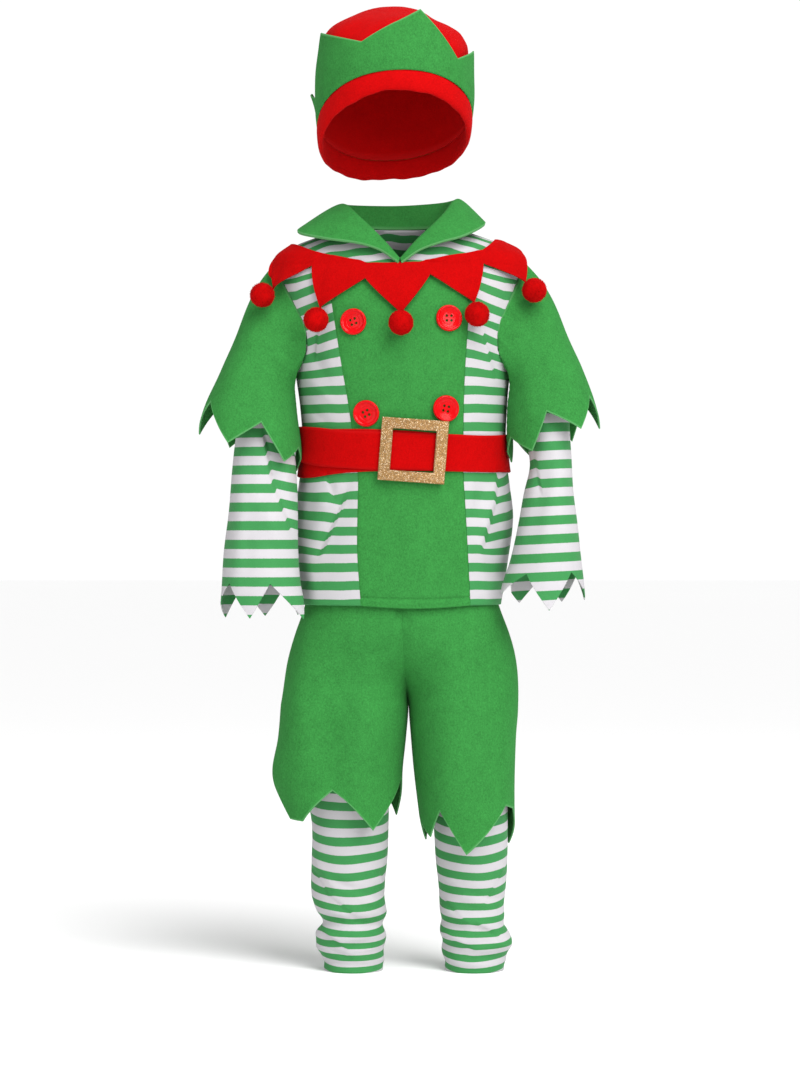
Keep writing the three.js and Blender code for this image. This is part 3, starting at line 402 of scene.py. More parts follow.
def finish_piece(thing, node, look):
    """The piece rides on the costume's one body, stands for its solid and takes its material."""
    thing.data.materials.clear()
    thing.data.materials.append(material_named(look))
    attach(thing, BODY)
    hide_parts(node)
    return thing


# Shader groups

def new_group(name, inputs, outputs):
    group = bpy.data.node_groups.new(name, "ShaderNodeTree")
    for title, kind, default in inputs:
        socket = group.interface.new_socket(title, in_out="INPUT", socket_type=kind)
        if default is not None:
            socket.default_value = default
    for title, kind in outputs:
        group.interface.new_socket(title, in_out="OUTPUT", socket_type=kind)
    start = group.nodes.new("NodeGroupInput")
    end = group.nodes.new("NodeGroupOutput")
    return group, start, end


def add_node(tree, kind, values=None, **settings):
    node = tree.nodes.new(kind)
    for name, value in settings.items():
        setattr(node, name, value)
    for name, value in (values or {}).items():
        node.inputs[name].default_value = value
    return node


def math_node(tree, operation, first, second=None):
    """A Math node fed by sockets or numbers."""
    node = add_node(tree, "ShaderNodeMath", operation=operation)
    for socket, value in zip(node.inputs, (first, second)):
        if value is None:
            continue
        if isinstance(value, (int, float)):
            socket.default_value = value
        else:
            tree.links.new(value, socket)
    return node.outputs[0]


def felt_group():
    """Nap of felt: short matted fibres over a slow mottle. Gives a shade and a height."""
    group, start, end = new_group(
        "felt nap",
        [("Fibre scale", "NodeSocketFloat", 900.0), ("Mottle", "NodeSocketFloat", 0.5)],
        [("Shade", "NodeSocketFloat"), ("Height", "NodeSocketFloat")],
    )
    link = group.links.new
    place = add_node(group, "ShaderNodeTexCoord").outputs["Object"]
    tufts = add_node(group, "ShaderNodeTexNoise", {"Detail": 3.0, "Roughness": 0.65, "Distortion": 0.6})
    link(place, tufts.inputs["Vector"])
    link(start.outputs["Fibre scale"], tufts.inputs["Scale"])
    stretch = add_node(group, "ShaderNodeMapping")
    stretch.inputs["Scale"].default_value = (1.0, 1.0, 0.35)
    stretch.inputs["Rotation"].default_value = (0.4, 0.7, 0.3)
    link(place, stretch.inputs["Vector"])
    fibres = add_node(group, "ShaderNodeTexNoise", {"Detail": 2.0, "Roughness": 0.6, "Distortion": 1.2})
    link(stretch.outputs[0], fibres.inputs["Vector"])
    link(math_node(group, "MULTIPLY", start.outputs["Fibre scale"], 2.3), fibres.inputs["Scale"])
    clumps = add_node(group, "ShaderNodeTexNoise", {"Scale": 75.0, "Detail": 3.0, "Roughness": 0.55})
    link(place, clumps.inputs["Vector"])
    fine = math_node(group, "ADD", math_node(group, "MULTIPLY", tufts.outputs[0], 0.62),
                     math_node(group, "MULTIPLY", fibres.outputs[0], 0.38))
    slow = math_node(group, "MULTIPLY", math_node(group, "SUBTRACT", clumps.outputs[0], 0.5),
                     start.outputs["Mottle"])
    link(math_node(group, "ADD", fine, slow), end.inputs["Shade"])
    link(fine, end.inputs["Height"])
    return group


def knit_group():
    """Fine rows of stitches of a thin knit, read from the flat cloth. Gives a shade and a height."""
    group, start, end = new_group(
        "fine knit",
        [("Stitches per metre", "NodeSocketFloat", 1100.0), ("Mottle", "NodeSocketFloat", 0.3)],
        [("Shade", "NodeSocketFloat"), ("Height", "NodeSocketFloat")],
    )
    link = group.links.new
    flat = add_node(group, "ShaderNodeUVMap", uv_map="cloth").outputs[0]
    split = add_node(group, "ShaderNodeSeparateXYZ")
    link(flat, split.inputs[0])
    turns = math_node(group, "MULTIPLY", start.outputs[0], 2 * math.pi)
    across = math_node(group, "SINE", math_node(group, "MULTIPLY", split.outputs[0], turns))
    down = math_node(group, "SINE", math_node(group, "MULTIPLY", split.outputs[1],
                                              math_node(group, "MULTIPLY", turns, 1.4)))
    stitches = math_node(group, "MULTIPLY_ADD", math_node(group, "MULTIPLY", across, down), 0.5)
    stitches.node.inputs[2].default_value = 0.5
    blur = add_node(group, "ShaderNodeTexNoise", {"Scale": 60.0, "Detail": 3.0, "Roughness": 0.6})
    link(add_node(group, "ShaderNodeTexCoord").outputs["Object"], blur.inputs["Vector"])
    slow = math_node(group, "MULTIPLY", math_node(group, "SUBTRACT", blur.outputs[0], 0.5),
                     start.outputs["Mottle"])
    link(math_node(group, "ADD", stitches, slow), end.inputs["Shade"])
    link(stitches, end.inputs["Height"])
    return group


def stripe_group():
    """Even stripes across the flat cloth, printed with slightly soft edges. Gives a mask, 1 on white."""
    group, start, end = new_group(
        "even stripes",
        [("Pitch", "NodeSocketFloat", 0.0205), ("Edge", "NodeSocketFloat", 0.012)],
        [("White", "NodeSocketFloat")],
    )
    link = group.links.new
    split = add_node(group, "ShaderNodeSeparateXYZ")
    link(add_node(group, "ShaderNodeUVMap", uv_map="cloth").outputs[0], split.inputs[0])
    rough = add_node(group, "ShaderNodeTexNoise", {"Scale": 700.0, "Detail": 1.0})
    link(add_node(group, "ShaderNodeTexCoord").outputs["Object"], rough.inputs["Vector"])
    shake = math_node(group, "MULTIPLY", math_node(group, "SUBTRACT", rough.outputs[0], 0.5), 0.0006)
    turns = math_node(group, "DIVIDE", math_node(group, "ADD", split.outputs[1], shake), start.outputs[0])
    share = math_node(group, "PINGPONG", turns, 0.5)
    soft = add_node(group, "ShaderNodeMapRange", interpolation_type="SMOOTHSTEP")
    link(share, soft.inputs["Value"])
    link(math_node(group, "ADD", start.outputs["Edge"], 0.25), soft.inputs["From Min"])
    link(math_node(group, "SUBTRACT", 0.25, start.outputs["Edge"]), soft.inputs["From Max"])
    link(soft.outputs[0], end.inputs["White"])
    return group


def glitter_group():
    """Glitter glued on board: small flakes, each with its own brightness and tilt. A few flakes are
    marked for painted glints, a pale gold painted into the colour.
    """
    group, start, end = new_group(
        "glitter",
        [("Flakes per metre", "NodeSocketFloat", 1500.0)],
        [("Flake", "NodeSocketFloat"), ("Sparkle", "NodeSocketFloat"), ("Height", "NodeSocketFloat")],
    )
    link = group.links.new
    place = add_node(group, "ShaderNodeTexCoord").outputs["Object"]
    flakes = add_node(group, "ShaderNodeTexVoronoi", feature="F1", distance="CHEBYCHEV")
    link(place, flakes.inputs["Vector"])
    link(start.outputs[0], flakes.inputs["Scale"])
    split = add_node(group, "ShaderNodeSeparateColor")
    link(flakes.outputs["Color"], split.inputs[0])
    link(split.outputs[0], end.inputs["Flake"])
    # Painted glint: picks the few flakes that are later painted pale gold in place of real sparkle
    glint_mask = add_node(group, "ShaderNodeMapRange", interpolation_type="SMOOTHSTEP")
    glint_mask.inputs["From Min"].default_value = 0.86
    link(split.outputs[1], glint_mask.inputs["Value"])
    link(glint_mask.outputs[0], end.inputs["Sparkle"])
    tilt = math_node(group, "MULTIPLY", split.outputs[2], flakes.outputs["Distance"])
    link(tilt, end.inputs["Height"])
    return group


GROUPS = {}


def group_node(tree, maker, values):
    """A node of the group that the maker makes, which is made once."""
    if maker not in GROUPS:
        GROUPS[maker] = maker()
    node = tree.nodes.new("ShaderNodeGroup")
    node.node_tree = GROUPS[maker]
    for title, value in values.items():
        node.inputs[title].default_value = value
    return node


# Materials

def new_material(name, settings):
    """A material with one Principled shader whose constant values are set on its own sockets."""
    material = bpy.data.materials.new(name)
    material.use_nodes = True
    shader = material.node_tree.nodes["Principled BSDF"]
    for title, value in settings.items():
        shader.inputs[title].default_value = value
    return material, material.node_tree, shader


def colour_ramp(tree, factor, stops):
    ramp = tree.nodes.new("ShaderNodeValToRGB")
    elements = ramp.color_ramp.elements
    while len(elements) < len(stops):
        elements.new(0.5)
    for element, (place, colour) in zip(elements, stops):
        element.position = place
        element.color = (*colour, 1.0)
    tree.links.new(factor, ramp.inputs["Fac"])
    return ramp.outputs["Color"]


def shaded(colour, share):
    return tuple(min(1.0, channel * share) for channel in colour)


def bumped(tree, shader, height, distance, strength=1.0):
    bump = add_node(tree, "ShaderNodeBump", {"Strength": strength, "Distance": distance})
    tree.links.new(height, bump.inputs["Height"])
    tree.links.new(bump.outputs["Normal"], shader.inputs["Normal"])


def ranged(tree, factor, low, high, target):
    """Feeds a socket with a value that runs from low to high with the factor."""
    between = add_node(tree, "ShaderNodeMapRange", {"To Min": low, "To Max": high})
    tree.links.new(factor, between.inputs["Value"])
    tree.links.new(between.outputs[0], target)


def mixed(tree, factor, first, second):
    """A colour between two others, each a socket or a constant colour."""
    mix = add_node(tree, "ShaderNodeMix", data_type="RGBA")
    tree.links.new(factor, mix.inputs["Factor"])
    for place, colour in ((6, first), (7, second)):
        if isinstance(colour, tuple):
            mix.inputs[place].default_value = colour
        else:
            tree.links.new(colour, mix.inputs[place])
    return mix.outputs[2]


def felt_material(name, colour, nap, fibre_scale, mottle, contrast, cut_lift):
    """Felt that is a little lighter where it is cut."""
    material, tree, shader = new_material(name, {
        "Specular IOR Level": 0.05, "Sheen Weight": 0.12, "Sheen Roughness": 0.5,
        "Sheen Tint": (*[channel ** 0.5 for channel in colour], 1.0),
    })
    felt = group_node(tree, felt_group, {"Fibre scale": fibre_scale, "Mottle": mottle})
    tint = colour_ramp(tree, felt.outputs["Shade"], [
        (0.22, shaded(colour, 1 - contrast)), (0.5, colour), (0.80, shaded(colour, 1 + contrast)),
    ])
    cut = add_node(tree, "ShaderNodeAttribute", attribute_name="cut_edge")
    lifted = [min(1.0, (1 + 5 * cut_lift) * channel + cut_lift) for channel in colour]
    seen = mixed(tree, cut.outputs["Fac"], tint, (*lifted, 1.0))
    tree.links.new(seen, shader.inputs["Base Color"])
    ranged(tree, felt.outputs["Height"], 0.98, 0.84, shader.inputs["Roughness"])
    bumped(tree, shader, felt.outputs["Height"], nap)
    return material


def striped_material(name, cloth_settings):
    material, tree, shader = new_material(name, {
        "Specular IOR Level": 0.25, "Sheen Weight": 0.06, "Sheen Roughness": 0.4,
    })
    stripes = group_node(tree, stripe_group, {"Pitch": cloth_settings.stripe_pitch, "Edge": 0.012})
    knit = group_node(tree, knit_group, {"Stitches per metre": 1100.0, "Mottle": 0.35})
    tints = []
    for colour, contrast in ((cloth_settings.stripe_green, 0.16), (cloth_settings.stripe_white, 0.05)):
        tints.append(colour_ramp(tree, knit.outputs["Shade"], [
            (0.15, shaded(colour, 1 - contrast)), (0.5, tuple(colour)),
            (0.85, shaded(colour, 1 + contrast)),
        ]))
    tree.links.new(mixed(tree, stripes.outputs[0], *tints), shader.inputs["Base Color"])
    ranged(tree, knit.outputs["Height"], 0.86, 0.68, shader.inputs["Roughness"])
    bumped(tree, shader, knit.outputs["Height"], 0.00008)
    return material


def plastic_material(name, colour):
    material, tree, shader = new_material(name, {"Specular IOR Level": 0.1, "Coat Weight": 0.05,
                                                 "Coat Roughness": 0.04})
    clouds = add_node(tree, "ShaderNodeTexNoise", {"Scale": 260.0, "Detail": 3.0})
    tree.links.new(add_node(tree, "ShaderNodeTexCoord").outputs["Object"], clouds.inputs["Vector"])
    stops = [(0.3, shaded(colour, 0.93)), (0.7, shaded(colour, 1.05))]
    tint = colour_ramp(tree, clouds.outputs[0], stops)
    tree.links.new(tint, shader.inputs["Base Color"])
    ranged(tree, clouds.outputs[0], 0.12, 0.2, shader.inputs["Roughness"])
    bumped(tree, shader, clouds.outputs[0], 0.00006)
    return material


def glitter_material(name, colour):
    material, tree, shader = new_material(name, {"Specular IOR Level": 0.5})
    glitter = group_node(tree, glitter_group, {"Flakes per metre": 1500.0})
    tint = colour_ramp(tree, glitter.outputs["Flake"], [
        (0.0, shaded(colour, 0.45)), (0.35, shaded(colour, 0.85)), (0.7, colour),
        (1.0, shaded(colour, 1.6)),
    ])
    # Painted glint: the marked flakes take a pale gold base colour in place of real sparkle
    seen = mixed(tree, glitter.outputs["Sparkle"], tint, (1.0, 0.86, 0.62, 1.0))
    tree.links.new(seen, shader.inputs["Base Color"])
    ranged(tree, glitter.outputs["Flake"], 0.35, 0.85, shader.inputs["Metallic"])
    ranged(tree, glitter.outputs["Flake"], 0.62, 0.28, shader.inputs["Roughness"])
    bumped(tree, shader, glitter.outputs["Height"], 0.0005)
    return material


# Colour setting, fibres per metre, mottle, contrast of the nap, and how far a cut edge is lighter
FELTS = {
    "green felt": ("green", 480.0, 0.22, 0.42, 0.05),
    "red felt": ("red", 520.0, 0.26, 0.26, 0.002),
    # The hat felt's lighter red holds painted sheen
    "hat felt": ("hat_red", 520.0, 0.26, 0.24, 0.004),
    "pompom wool": ("red", 1400.0, 0.8, 0.35, 0.0),
}
MATERIALS = {}


def make_material(name):
    settings, trim = bpy.context.scene.elf_cloth, bpy.context.scene.elf_trim
    if name in FELTS:
        colour, *nap = FELTS[name]
        return felt_material(name, tuple(getattr(settings, colour)), settings.nap, *nap)
    if name == "striped cloth":
        return striped_material(name, settings)
    if name == "button plastic":
        return plastic_material(name, tuple(trim.button_red))
    return glitter_material(name, tuple(trim.gold))


def material_named(name):
    """The costume's materials, each made when it is first used."""
    if name not in MATERIALS:
        MATERIALS[name] = make_material(name)
    return MATERIALS[name]


# Tunic

TORSO = Table(
    "z mid half front back",
    [27, 0, 58, 42, 47], [20, 0, 78, 46, 52], [13, 0, 98, 50, 57], [5, 0, 119, 56, 64],
    [-5, 0, 134, 63, 73], [-12, 0, 140, 67, 78], [-40, 0, 139, 77, 86], [-60, 1, 135, 81, 88],
    [-100, 2, 128, 85, 88], [-142, 3, 123, 85, 86], [-180, 4, 119, 83, 84], [-232, 5, 117, 82, 82],
    [-270, 5, 121, 83, 83], [-310, 4, 126, 84, 85], [-360, 2, 122, 83, 85], [-412, 0, 115, 81, 83],
)
NECK_EDGE = Table("z reach", [27, 56], [20, 52], [10, 42], [0, 28], [-8, 16], [-17, 0.6], [-22, 0.6])
ARMHOLE = Table(
    "z front back",
    [-12, 140, 140], [-24, 137, 138], [-40, 133, 134], [-59, 124, 126], [-84, 112, 117],
    [-100, 108, 114], [-118, 108, 114], [-132, 114, 117], [-142, 123, 123],
)
FRONT_SEAMS = Table(
    "z right left",
    [-26, -82, 82], [-68, -77, 78], [-126, -67.5, 74.5], [-187, -57.5, 72], [-257, -48, 71.5],
    [-300, -48, 74], [-350, -48, 77], [-412, -44, 80],
)
TUNIC_FOLDS = [
    (-96, -92, -93, -140, 11, -3.5), (84, -86, 112, -150, 12, -4), (108, -96, 118, -170, 13, 3),
    (-92, -274, -84, -300, 12, 4), (-64, -296, -92, -362, 13, -4.5), (-84, -330, -104, -392, 14, 4),
    (112, -276, 94, -342, 13, 4.5), (96, -270, 84, -306, 10, -3), (10, -280, 26, -392, 26, 3),
]
TUNIC_CREASES = [
    (-104, -112, -82, -150, 6, -1.6), (-106, -150, -78, -176, 6, 1.6), (-108, -176, -84, -200, 5, -1.5),
    (-70, -268, -74, -300, 5, 1.5), (-58, -262, -60, -292, 5, -1.2), (-100, -285, -106, -330, 6, -1.6),
    (-110, -340, -96, -400, 7, 1.6), (100, -120, 116, -150, 5, -1.6), (92, -170, 114, -196, 6, 1.5),
    (86, -200, 112, -206, 5, -1.2), (80, -266, 82, -300, 5, 1.4), (106, -300, 116, -350, 6, -1.5),
    (90, -340, 100, -400, 7, 1.6), (-20, -258, -14, -290, 7, -1.0), (40, -260, 46, -300, 8, 1.0),
    (-10, -120, 6, -170, 16, 0.8), (30, -140, 34, -200, 14, -0.7),
]
TUNIC_PLEATS = [
    (-60, -284, -90, -352, -1, 26, 4.5, 7.0), (-86, -256, -76, -290, 1, 14, 2.0, 3.0),
    (110, -256, 108, -290, 1, 20, 4.0, 8.0), (108, -290, 92, -345, 1, 22, 4.0, 8.5),
    (91, -90, 107, -148, 1, 16, 3.0, -5.0),
    (-92, -92, -96, -128, -1, 14, 3.0, -3.0),
]
# Where the stripes start, turn over the shoulder, are drawn up under the belt and slope on the chest
STRIPE_START_Z = -272.5
SHOULDER_TURN_Z = (-46, -8)
SHOULDER_TOP_DEPTH = 75
BELT_TUCK = 4.3
BELT_TUCK_Z = (-252, -214)
CHEST_SLOPE = 0.36
CHEST_Z = (-175, -80)
CHEST_X = (78, 118)
# How the green front meets the sides and hangs, and how a stitched thread draws the cloth in
SEAM_SHUT = 0.12
TUNIC_TOP_Z = 27
SEAM_UNDER = 0.9
HEM_SAG = 3
HEM_STITCH_Z = TUNIC_HEM_Z + 9
STITCH_DEPTH = 1.1
STITCH_WIDE = 1.3
BACK_FOLD_SHARE = 0.8


def torso_surface(angle, z, out=0.0):
    """Point of the tunic, and how far its stripes slip there."""
    point = section_point(section_at(TORSO, z, out), angle, z, TORSO_POWER)
    towards = np.cos(np.radians(angle))
    front, rear = smoothstep(towards, 0.05, 0.4), smoothstep(-towards, 0.05, 0.4)
    x = point[..., 0].copy()
    creases = TUNIC_FOLDS + TUNIC_CREASES
    depth, slip = pleat_lines(TUNIC_PLEATS, x, z)
    back_depth, back_slip = pleat_lines(TUNIC_PLEATS, -x, z)
    point[..., 1] -= front * (fold_height(creases, x, z) - depth)
    point[..., 1] += rear * (fold_height(creases, -x, z) - back_depth) * BACK_FOLD_SHARE
    swell = unevenness(point, 0.7)
    radial = unit(np.stack([x, point[..., 1], np.zeros_like(x)], axis=-1))
    return point + swell[..., None] * radial, front * slip + rear * back_slip


def torso_angle(x, z):
    """The angle of the tunic's point that stands at x on the front."""
    row = section_at(TORSO, z)
    share = np.clip((x - row["mid"]) / row["half"], -1, 1)
    return np.degrees(np.arcsin(np.sign(share) * np.abs(share) ** (TORSO_POWER / 2)))


def in_armhole(z):
    return (z < SHOULDER_Z) & (z > UNDERARM_Z)


def seam_x(side, z):
    return FRONT_SEAMS.smooth(SIDES[side], z)


def reach_angle(reach, z):
    """The angle of the armhole's edge, reach millimetres from the middle."""
    return torso_angle(TORSO.smooth("mid", z) + reach, z)


def tunic_lie(point, slip):
    """Place on the flat cloth: stripes run level, and turn over the shoulder towards the back."""
    x, y, z = point[..., 0], point[..., 1], point[..., 2]
    over = smoothstep(z, *SHOULDER_TURN_Z)
    down = z + BELT_TUCK * smoothstep(z, *BELT_TUCK_Z) + slip
    down = down + over * ((SHOULDER_TOP_DEPTH - np.abs(y)) * 1.1 - 0.6 * (z + 20))
    wave = 0.9 * np.sin(x / 11 + z / 40) + 0.6 * np.sin(x / 5.3 + 1.3)
    chest = smoothstep(z, *CHEST_Z) * (1 - over) * smoothstep(-y, -10, 35)
    level_x, far_x = CHEST_X
    down = down + chest * CHEST_SLOPE * (np.minimum(np.abs(x), far_x) - level_x)
    down = down + wave * (0.35 + over)
    return np.stack([x + np.sign(x) * np.abs(y) * 0.4, down - STRIPE_START_Z], axis=-1)


def side_front(side):
    def surface(share, z):
        over = side * NECK_EDGE.smooth("reach", z)
        seam = np.where(z > FRONT_TOP_Z, over, seam_x(side, z) + side * SEAM_SHUT)
        outer = np.where(in_armhole(z), reach_angle(ARMHOLE.straight("front", z), z), 90)
        start, end = torso_angle(seam, z), side * (outer - SEAM_DEGREES)
        angle = lerp(start, end, share if side == LEFT else 1 - share)
        point, slip = torso_surface(angle, z)
        return point, tunic_lie(point, slip)

    return surface


def tunic_rows(fine):
    """Heights of the tunic's rows, fine millimetres apart, with one row at the armhole's upper end."""
    shoulder = np.linspace(TUNIC_TOP_Z, SHOULDER_Z + 0.1, int((TUNIC_TOP_Z - SHOULDER_Z) / fine))
    yoke = np.linspace(SHOULDER_Z - 2, FRONT_TOP_Z + YOKE_RISE, 4)
    body = np.linspace(FRONT_TOP_Z, TUNIC_HEM_Z, int((FRONT_TOP_Z - TUNIC_HEM_Z) / fine))
    return np.concatenate([shoulder, yoke, body])


def centre_front_surface(share, z):
    x = lerp(seam_x(RIGHT, z), seam_x(LEFT, z), share)
    top = smoothstep(z, FRONT_TOP_Z - 8, FRONT_TOP_Z)
    rise = top * (YOKE_RISE * (1 - np.abs(2 * share - 1)) - SEAM_UNDER)
    dip = -HEM_SAG * np.sin(np.pi * share) * smoothstep(-z, 380, -TUNIC_HEM_Z)
    point, _ = torso_surface(torso_angle(x, z), z + rise + dip)
    point[..., 1] += hem_stitch(z) + seam_roll(share)
    return point, np.stack([x, z], axis=-1)


def stitch_dip(away):
    """How far the cloth dips along a stitched thread, away millimetres from it."""
    return STITCH_DEPTH * np.exp(-(away / STITCH_WIDE) ** 2)


def hem_stitch(z):
    """The stitched hem: the cloth dips along the thread and rises a little below it."""
    return stitch_dip(z - HEM_STITCH_Z) - 0.5 * smoothstep(-z, 1 - HEM_STITCH_Z, 4 - HEM_STITCH_Z)


def seam_roll(share):
    """The felt turns in along both seams."""
    edge = np.minimum(share, 1 - share)
    return SEAM_UNDER * np.exp(-(edge / 0.012) ** 2)


def tunic_back_surface(share, z):
    reach = ARMHOLE.straight("back", z)
    open_angle = np.where(in_armhole(z), reach_angle(reach, z), 90)
    angle = lerp(180 - open_angle + SEAM_DEGREES, 180 + open_angle - SEAM_DEGREES, share)
    point, slip = torso_surface(angle, z)
    return point, tunic_lie(point, slip)


# Sleeves

SLEEVE_COLUMNS = "drop mid lean half midY depth"
OVERSLEEVE_RINGS = {
    RIGHT: Table(
        SLEEVE_COLUMNS,
        [77, 131, 8, 65, 2, 57], [97, 141, 21, 60, 0, 56], [131, 152, 45, 49, -8, 53],
        [165, 161, 60, 51, -18, 54], [202, 167, 67, 60, -27, 57], [242, 173, 70, 64, -34, 58],
    ),
    LEFT: Table(
        SLEEVE_COLUMNS,
        [77, 131, 8, 65, 2, 57], [95, 142, 21, 60, 0, 56], [129, 155, 47, 49, -8, 53],
        [160, 163, 61, 51, -18, 54], [195, 171, 66, 55, -27, 56], [236, 178, 70, 58, -34, 57],
    ),
}
UNDERSLEEVE_RINGS = {
    RIGHT: Table(
        SLEEVE_COLUMNS,
        [77, 131, 8, 60, 2, 52], [97, 141, 21, 54, 0, 49], [131, 152, 46, 42, -9, 44],
        [165, 155, 62, 38, -18, 39], [202, 154, 74, 33, -27, 34], [240, 154, 80, 36, -35, 35],
        [300, 154, 86, 40, -47, 37], [345, 157, 88, 42, -53, 38], [385, 157, 90, 45, -57, 40],
        [424, 154, 90, 51, -60, 42],
    ),
    LEFT: Table(
        SLEEVE_COLUMNS,
        [77, 131, 8, 60, 2, 52], [95, 142, 21, 54.7, 0, 49.6], [129, 154, 47, 42.6, -9, 44.6],
        [160, 160, 62, 37, -20, 40], [200, 166, 76, 28, -30, 36], [243, 171, 84, 24, -39, 34],
        [278, 169, 87, 28, -45, 35], [313, 168, 88, 33, -50, 37], [358, 165, 90, 41, -55, 39],
        [381, 162, 90, 46, -57, 41], [412, 160, 90, 50, -59, 43],
    ),
}
OVERSLEEVE_CUT = {
    RIGHT: Table(
        "angle drop",
        [-155, 236], [-128, 200], [-102, 234], [-64, 197], [-22, 232], [11, 196], [44, 229], [71, 206],
        [98, 232], [124, 202], [150, 234], [178, 200], [205, 236],
    ),
    LEFT: Table(
        "angle drop",
        [-178, 193], [-150, 226], [-124, 194], [-98, 224], [-66, 196], [-31, 222], [-5, 186], [33, 219],
        [66, 190], [100, 226], [128, 192], [155, 228], [182, 193],
    ),
}
UNDERSLEEVE_CUT = {
    RIGHT: Table(
        "angle drop",
        [-180, 420], [-150, 385], [-118, 421], [-51, 381], [-16, 421], [15, 382], [64, 422], [85, 396],
        [112, 418], [145, 385], [180, 420],
    ),
    LEFT: Table(
        "angle drop",
        [-180, 375], [-150, 405], [-112, 378], [-75, 393], [-29, 371], [8, 412], [41, 369], [95, 401],
        [122, 374], [150, 404], [180, 375],
    ),
}
SLEEVE_FOLDS = [
    (-190, -60, -206, -170, 16, 3), (-150, -90, -178, -190, 14, -3), (-140, -250, -152, -286, 10, -4),
    (-150, -300, -126, -340, 12, 4), (-176, -260, -186, -380, 12, 3), (186, -60, 206, -160, 16, 3),
    (150, -100, 172, -180, 13, -3), (166, -240, 150, -330, 10, -4), (184, -260, 186, -370, 12, 3),
]
OVERSLEEVE_CREASES = [
    (-128, -140, -150, -200, 8, 1.2), (-120, -110, -134, -150, 7, -1.2), (-170, -60, -180, -110, 10, 0.9),
    (132, -130, 146, -190, 8, 1.2), (122, -104, 136, -150, 7, -1.2), (178, -90, 196, -150, 10, -0.9),
]
UNDERSLEEVE_CREASES = [
    (-186, -240, -190, -390, 9, 1.3), (-170, -230, -172, -390, 8, -1.2), (-128, -260, -118, -320, 6, 1.5),
    (-132, -330, -124, -390, 7, -1.2), (166, -230, 160, -380, 9, 1.0), (192, -250, 200, -390, 9, 1.2),
    (146, -300, 136, -370, 8, -1.2),
]
UNDERSLEEVE_PLEATS = [
    (-155, -214, -144, -272, 1, 22, 6.0, -6.5), (-144, -268, -121, -330, 1, 18, 5.5, -6.0),
    (152, -232, 160, -280, -1, 14, 3.5, -4.0),
]
# How far each layer stays from the tunic and starts inside the armhole, and how its stripes run
SLEEVE_CLEARANCE = {"over": 6.5, "under": 12.5}
SLEEVE_INSET = {"over": 1.4, "under": 11}
SLEEVE_STRIPE_Z = {RIGHT: -222.8, LEFT: -216.6}
SLEEVE_STRIPE_SHARE = 0.974
SLEEVE_STRIPE_TILT = {RIGHT: 0.0, LEFT: 0.05}
SLEEVE_JOIN = 55


def armhole_point(side, angle, inset):
    """A point of the armhole, where a sleeve starts inset millimetres inside it."""
    turn = np.radians(angle)
    lift = -side * np.sin(turn)
    z = (SHOULDER_Z + UNDERARM_Z) / 2 - lift * (0.5 * (SHOULDER_Z - UNDERARM_Z) - inset)
    forward = np.cos(turn) > 0
    reach = np.where(forward, ARMHOLE.straight("front", z), ARMHOLE.straight("back", z))
    row = section_at(TORSO, z)
    share = np.minimum(1, reach / row["half"]) ** TORSO_POWER
    depth = np.where(forward, row["front"], row["back"]) * (1 - share) ** (1 / TORSO_POWER)
    y = np.where(forward, -1, 1) * np.maximum(0, depth - inset)
    return np.stack([row["mid"] + side * (reach + 0.3 + 1.5 * lift**2), y, z], axis=-1)


def leaning_point(rings, side, angle, drop):
    """A point of a sleeve: its rings lean with the arm, and angle 0 is the front."""
    row = {name: rings.smooth(name, drop) for name in rings.columns}
    turn, lean = np.radians(angle), np.radians(row["lean"])
    outward = side * np.sin(turn) * row["half"]
    x = side * (row["mid"] + outward * np.sin(lean))
    y = row["midY"] - row["depth"] * np.cos(turn)
    return np.stack(np.broadcast_arrays(x, y, -drop + outward * np.cos(lean)), axis=-1)


def clear_of_torso(point, gap):
    """Moves points too near the tunic straight out."""
    row = section_at(TORSO, point[..., 2], gap)
    depth = np.where(point[..., 1] < 0, row["front"], row["back"])
    size = (
        np.abs((point[..., 0] - row["mid"]) / row["half"]) ** TORSO_POWER
        + np.abs(point[..., 1] / depth) ** TORSO_POWER
    )
    near = (size < 1) & (point[..., 2] <= UNDERARM_Z + 20)
    grow = np.where(near, np.maximum(size, 1e-6) ** (-1 / TORSO_POWER), 1)
    point[..., 0] = row["mid"] + (point[..., 0] - row["mid"]) * grow
    point[..., 1] *= grow
    return point


def sleeve_surface(rings, cut, side, layer):
    creases = SLEEVE_FOLDS + (OVERSLEEVE_CREASES if layer == "over" else UNDERSLEEVE_CREASES)
    pleats = [] if layer == "over" else UNDERSLEEVE_PLEATS

    def surface(angle, share):
        drop = lerp(ARMHOLE_DROP, cut.straight("drop", angle), share)
        point = leaning_point(rings, side, angle, drop)
        start = leaning_point(rings, side, angle, np.full_like(drop, ARMHOLE_DROP))
        stay = 1 - smoothstep(drop, ARMHOLE_DROP, ARMHOLE_DROP + SLEEVE_JOIN)
        point += (armhole_point(side, angle, SLEEVE_INSET[layer]) - start) * stay[..., None]
        towards = np.cos(np.radians(angle))
        x, z = point[..., 0].copy(), point[..., 2]
        depth, slip = pleat_lines(pleats, x, z)
        front, rear = np.maximum(0, towards) * (1 - stay), np.maximum(0, -towards) * (1 - stay)
        height = fold_height(creases, x, z)
        point[..., 1] -= front * (height - depth)
        point[..., 1] += rear * 0.7 * height
        middle = np.stack([side * rings.smooth("mid", drop), rings.smooth("midY", drop), z], axis=-1)
        out = unit(point - middle)
        point += (unevenness(point, 0.8, 1.3) * (1 - stay))[..., None] * out
        point = clear_of_torso(point, SLEEVE_CLEARANCE[layer] * np.minimum(1, 4 * (1 - stay)))
        around = side * angle * np.radians(1) * rings.smooth("half", drop)
        down = point[..., 2] - SLEEVE_STRIPE_TILT[side] * (point[..., 0] - 170)
        down = SLEEVE_STRIPE_SHARE * (down - SLEEVE_STRIPE_Z[side]) + slip * np.maximum(0, towards)
        return point, np.stack([around, down], axis=-1)

    return surface


# Collar: stations round the neck, each with the seam, the fold at the top of the stand and the outer edge

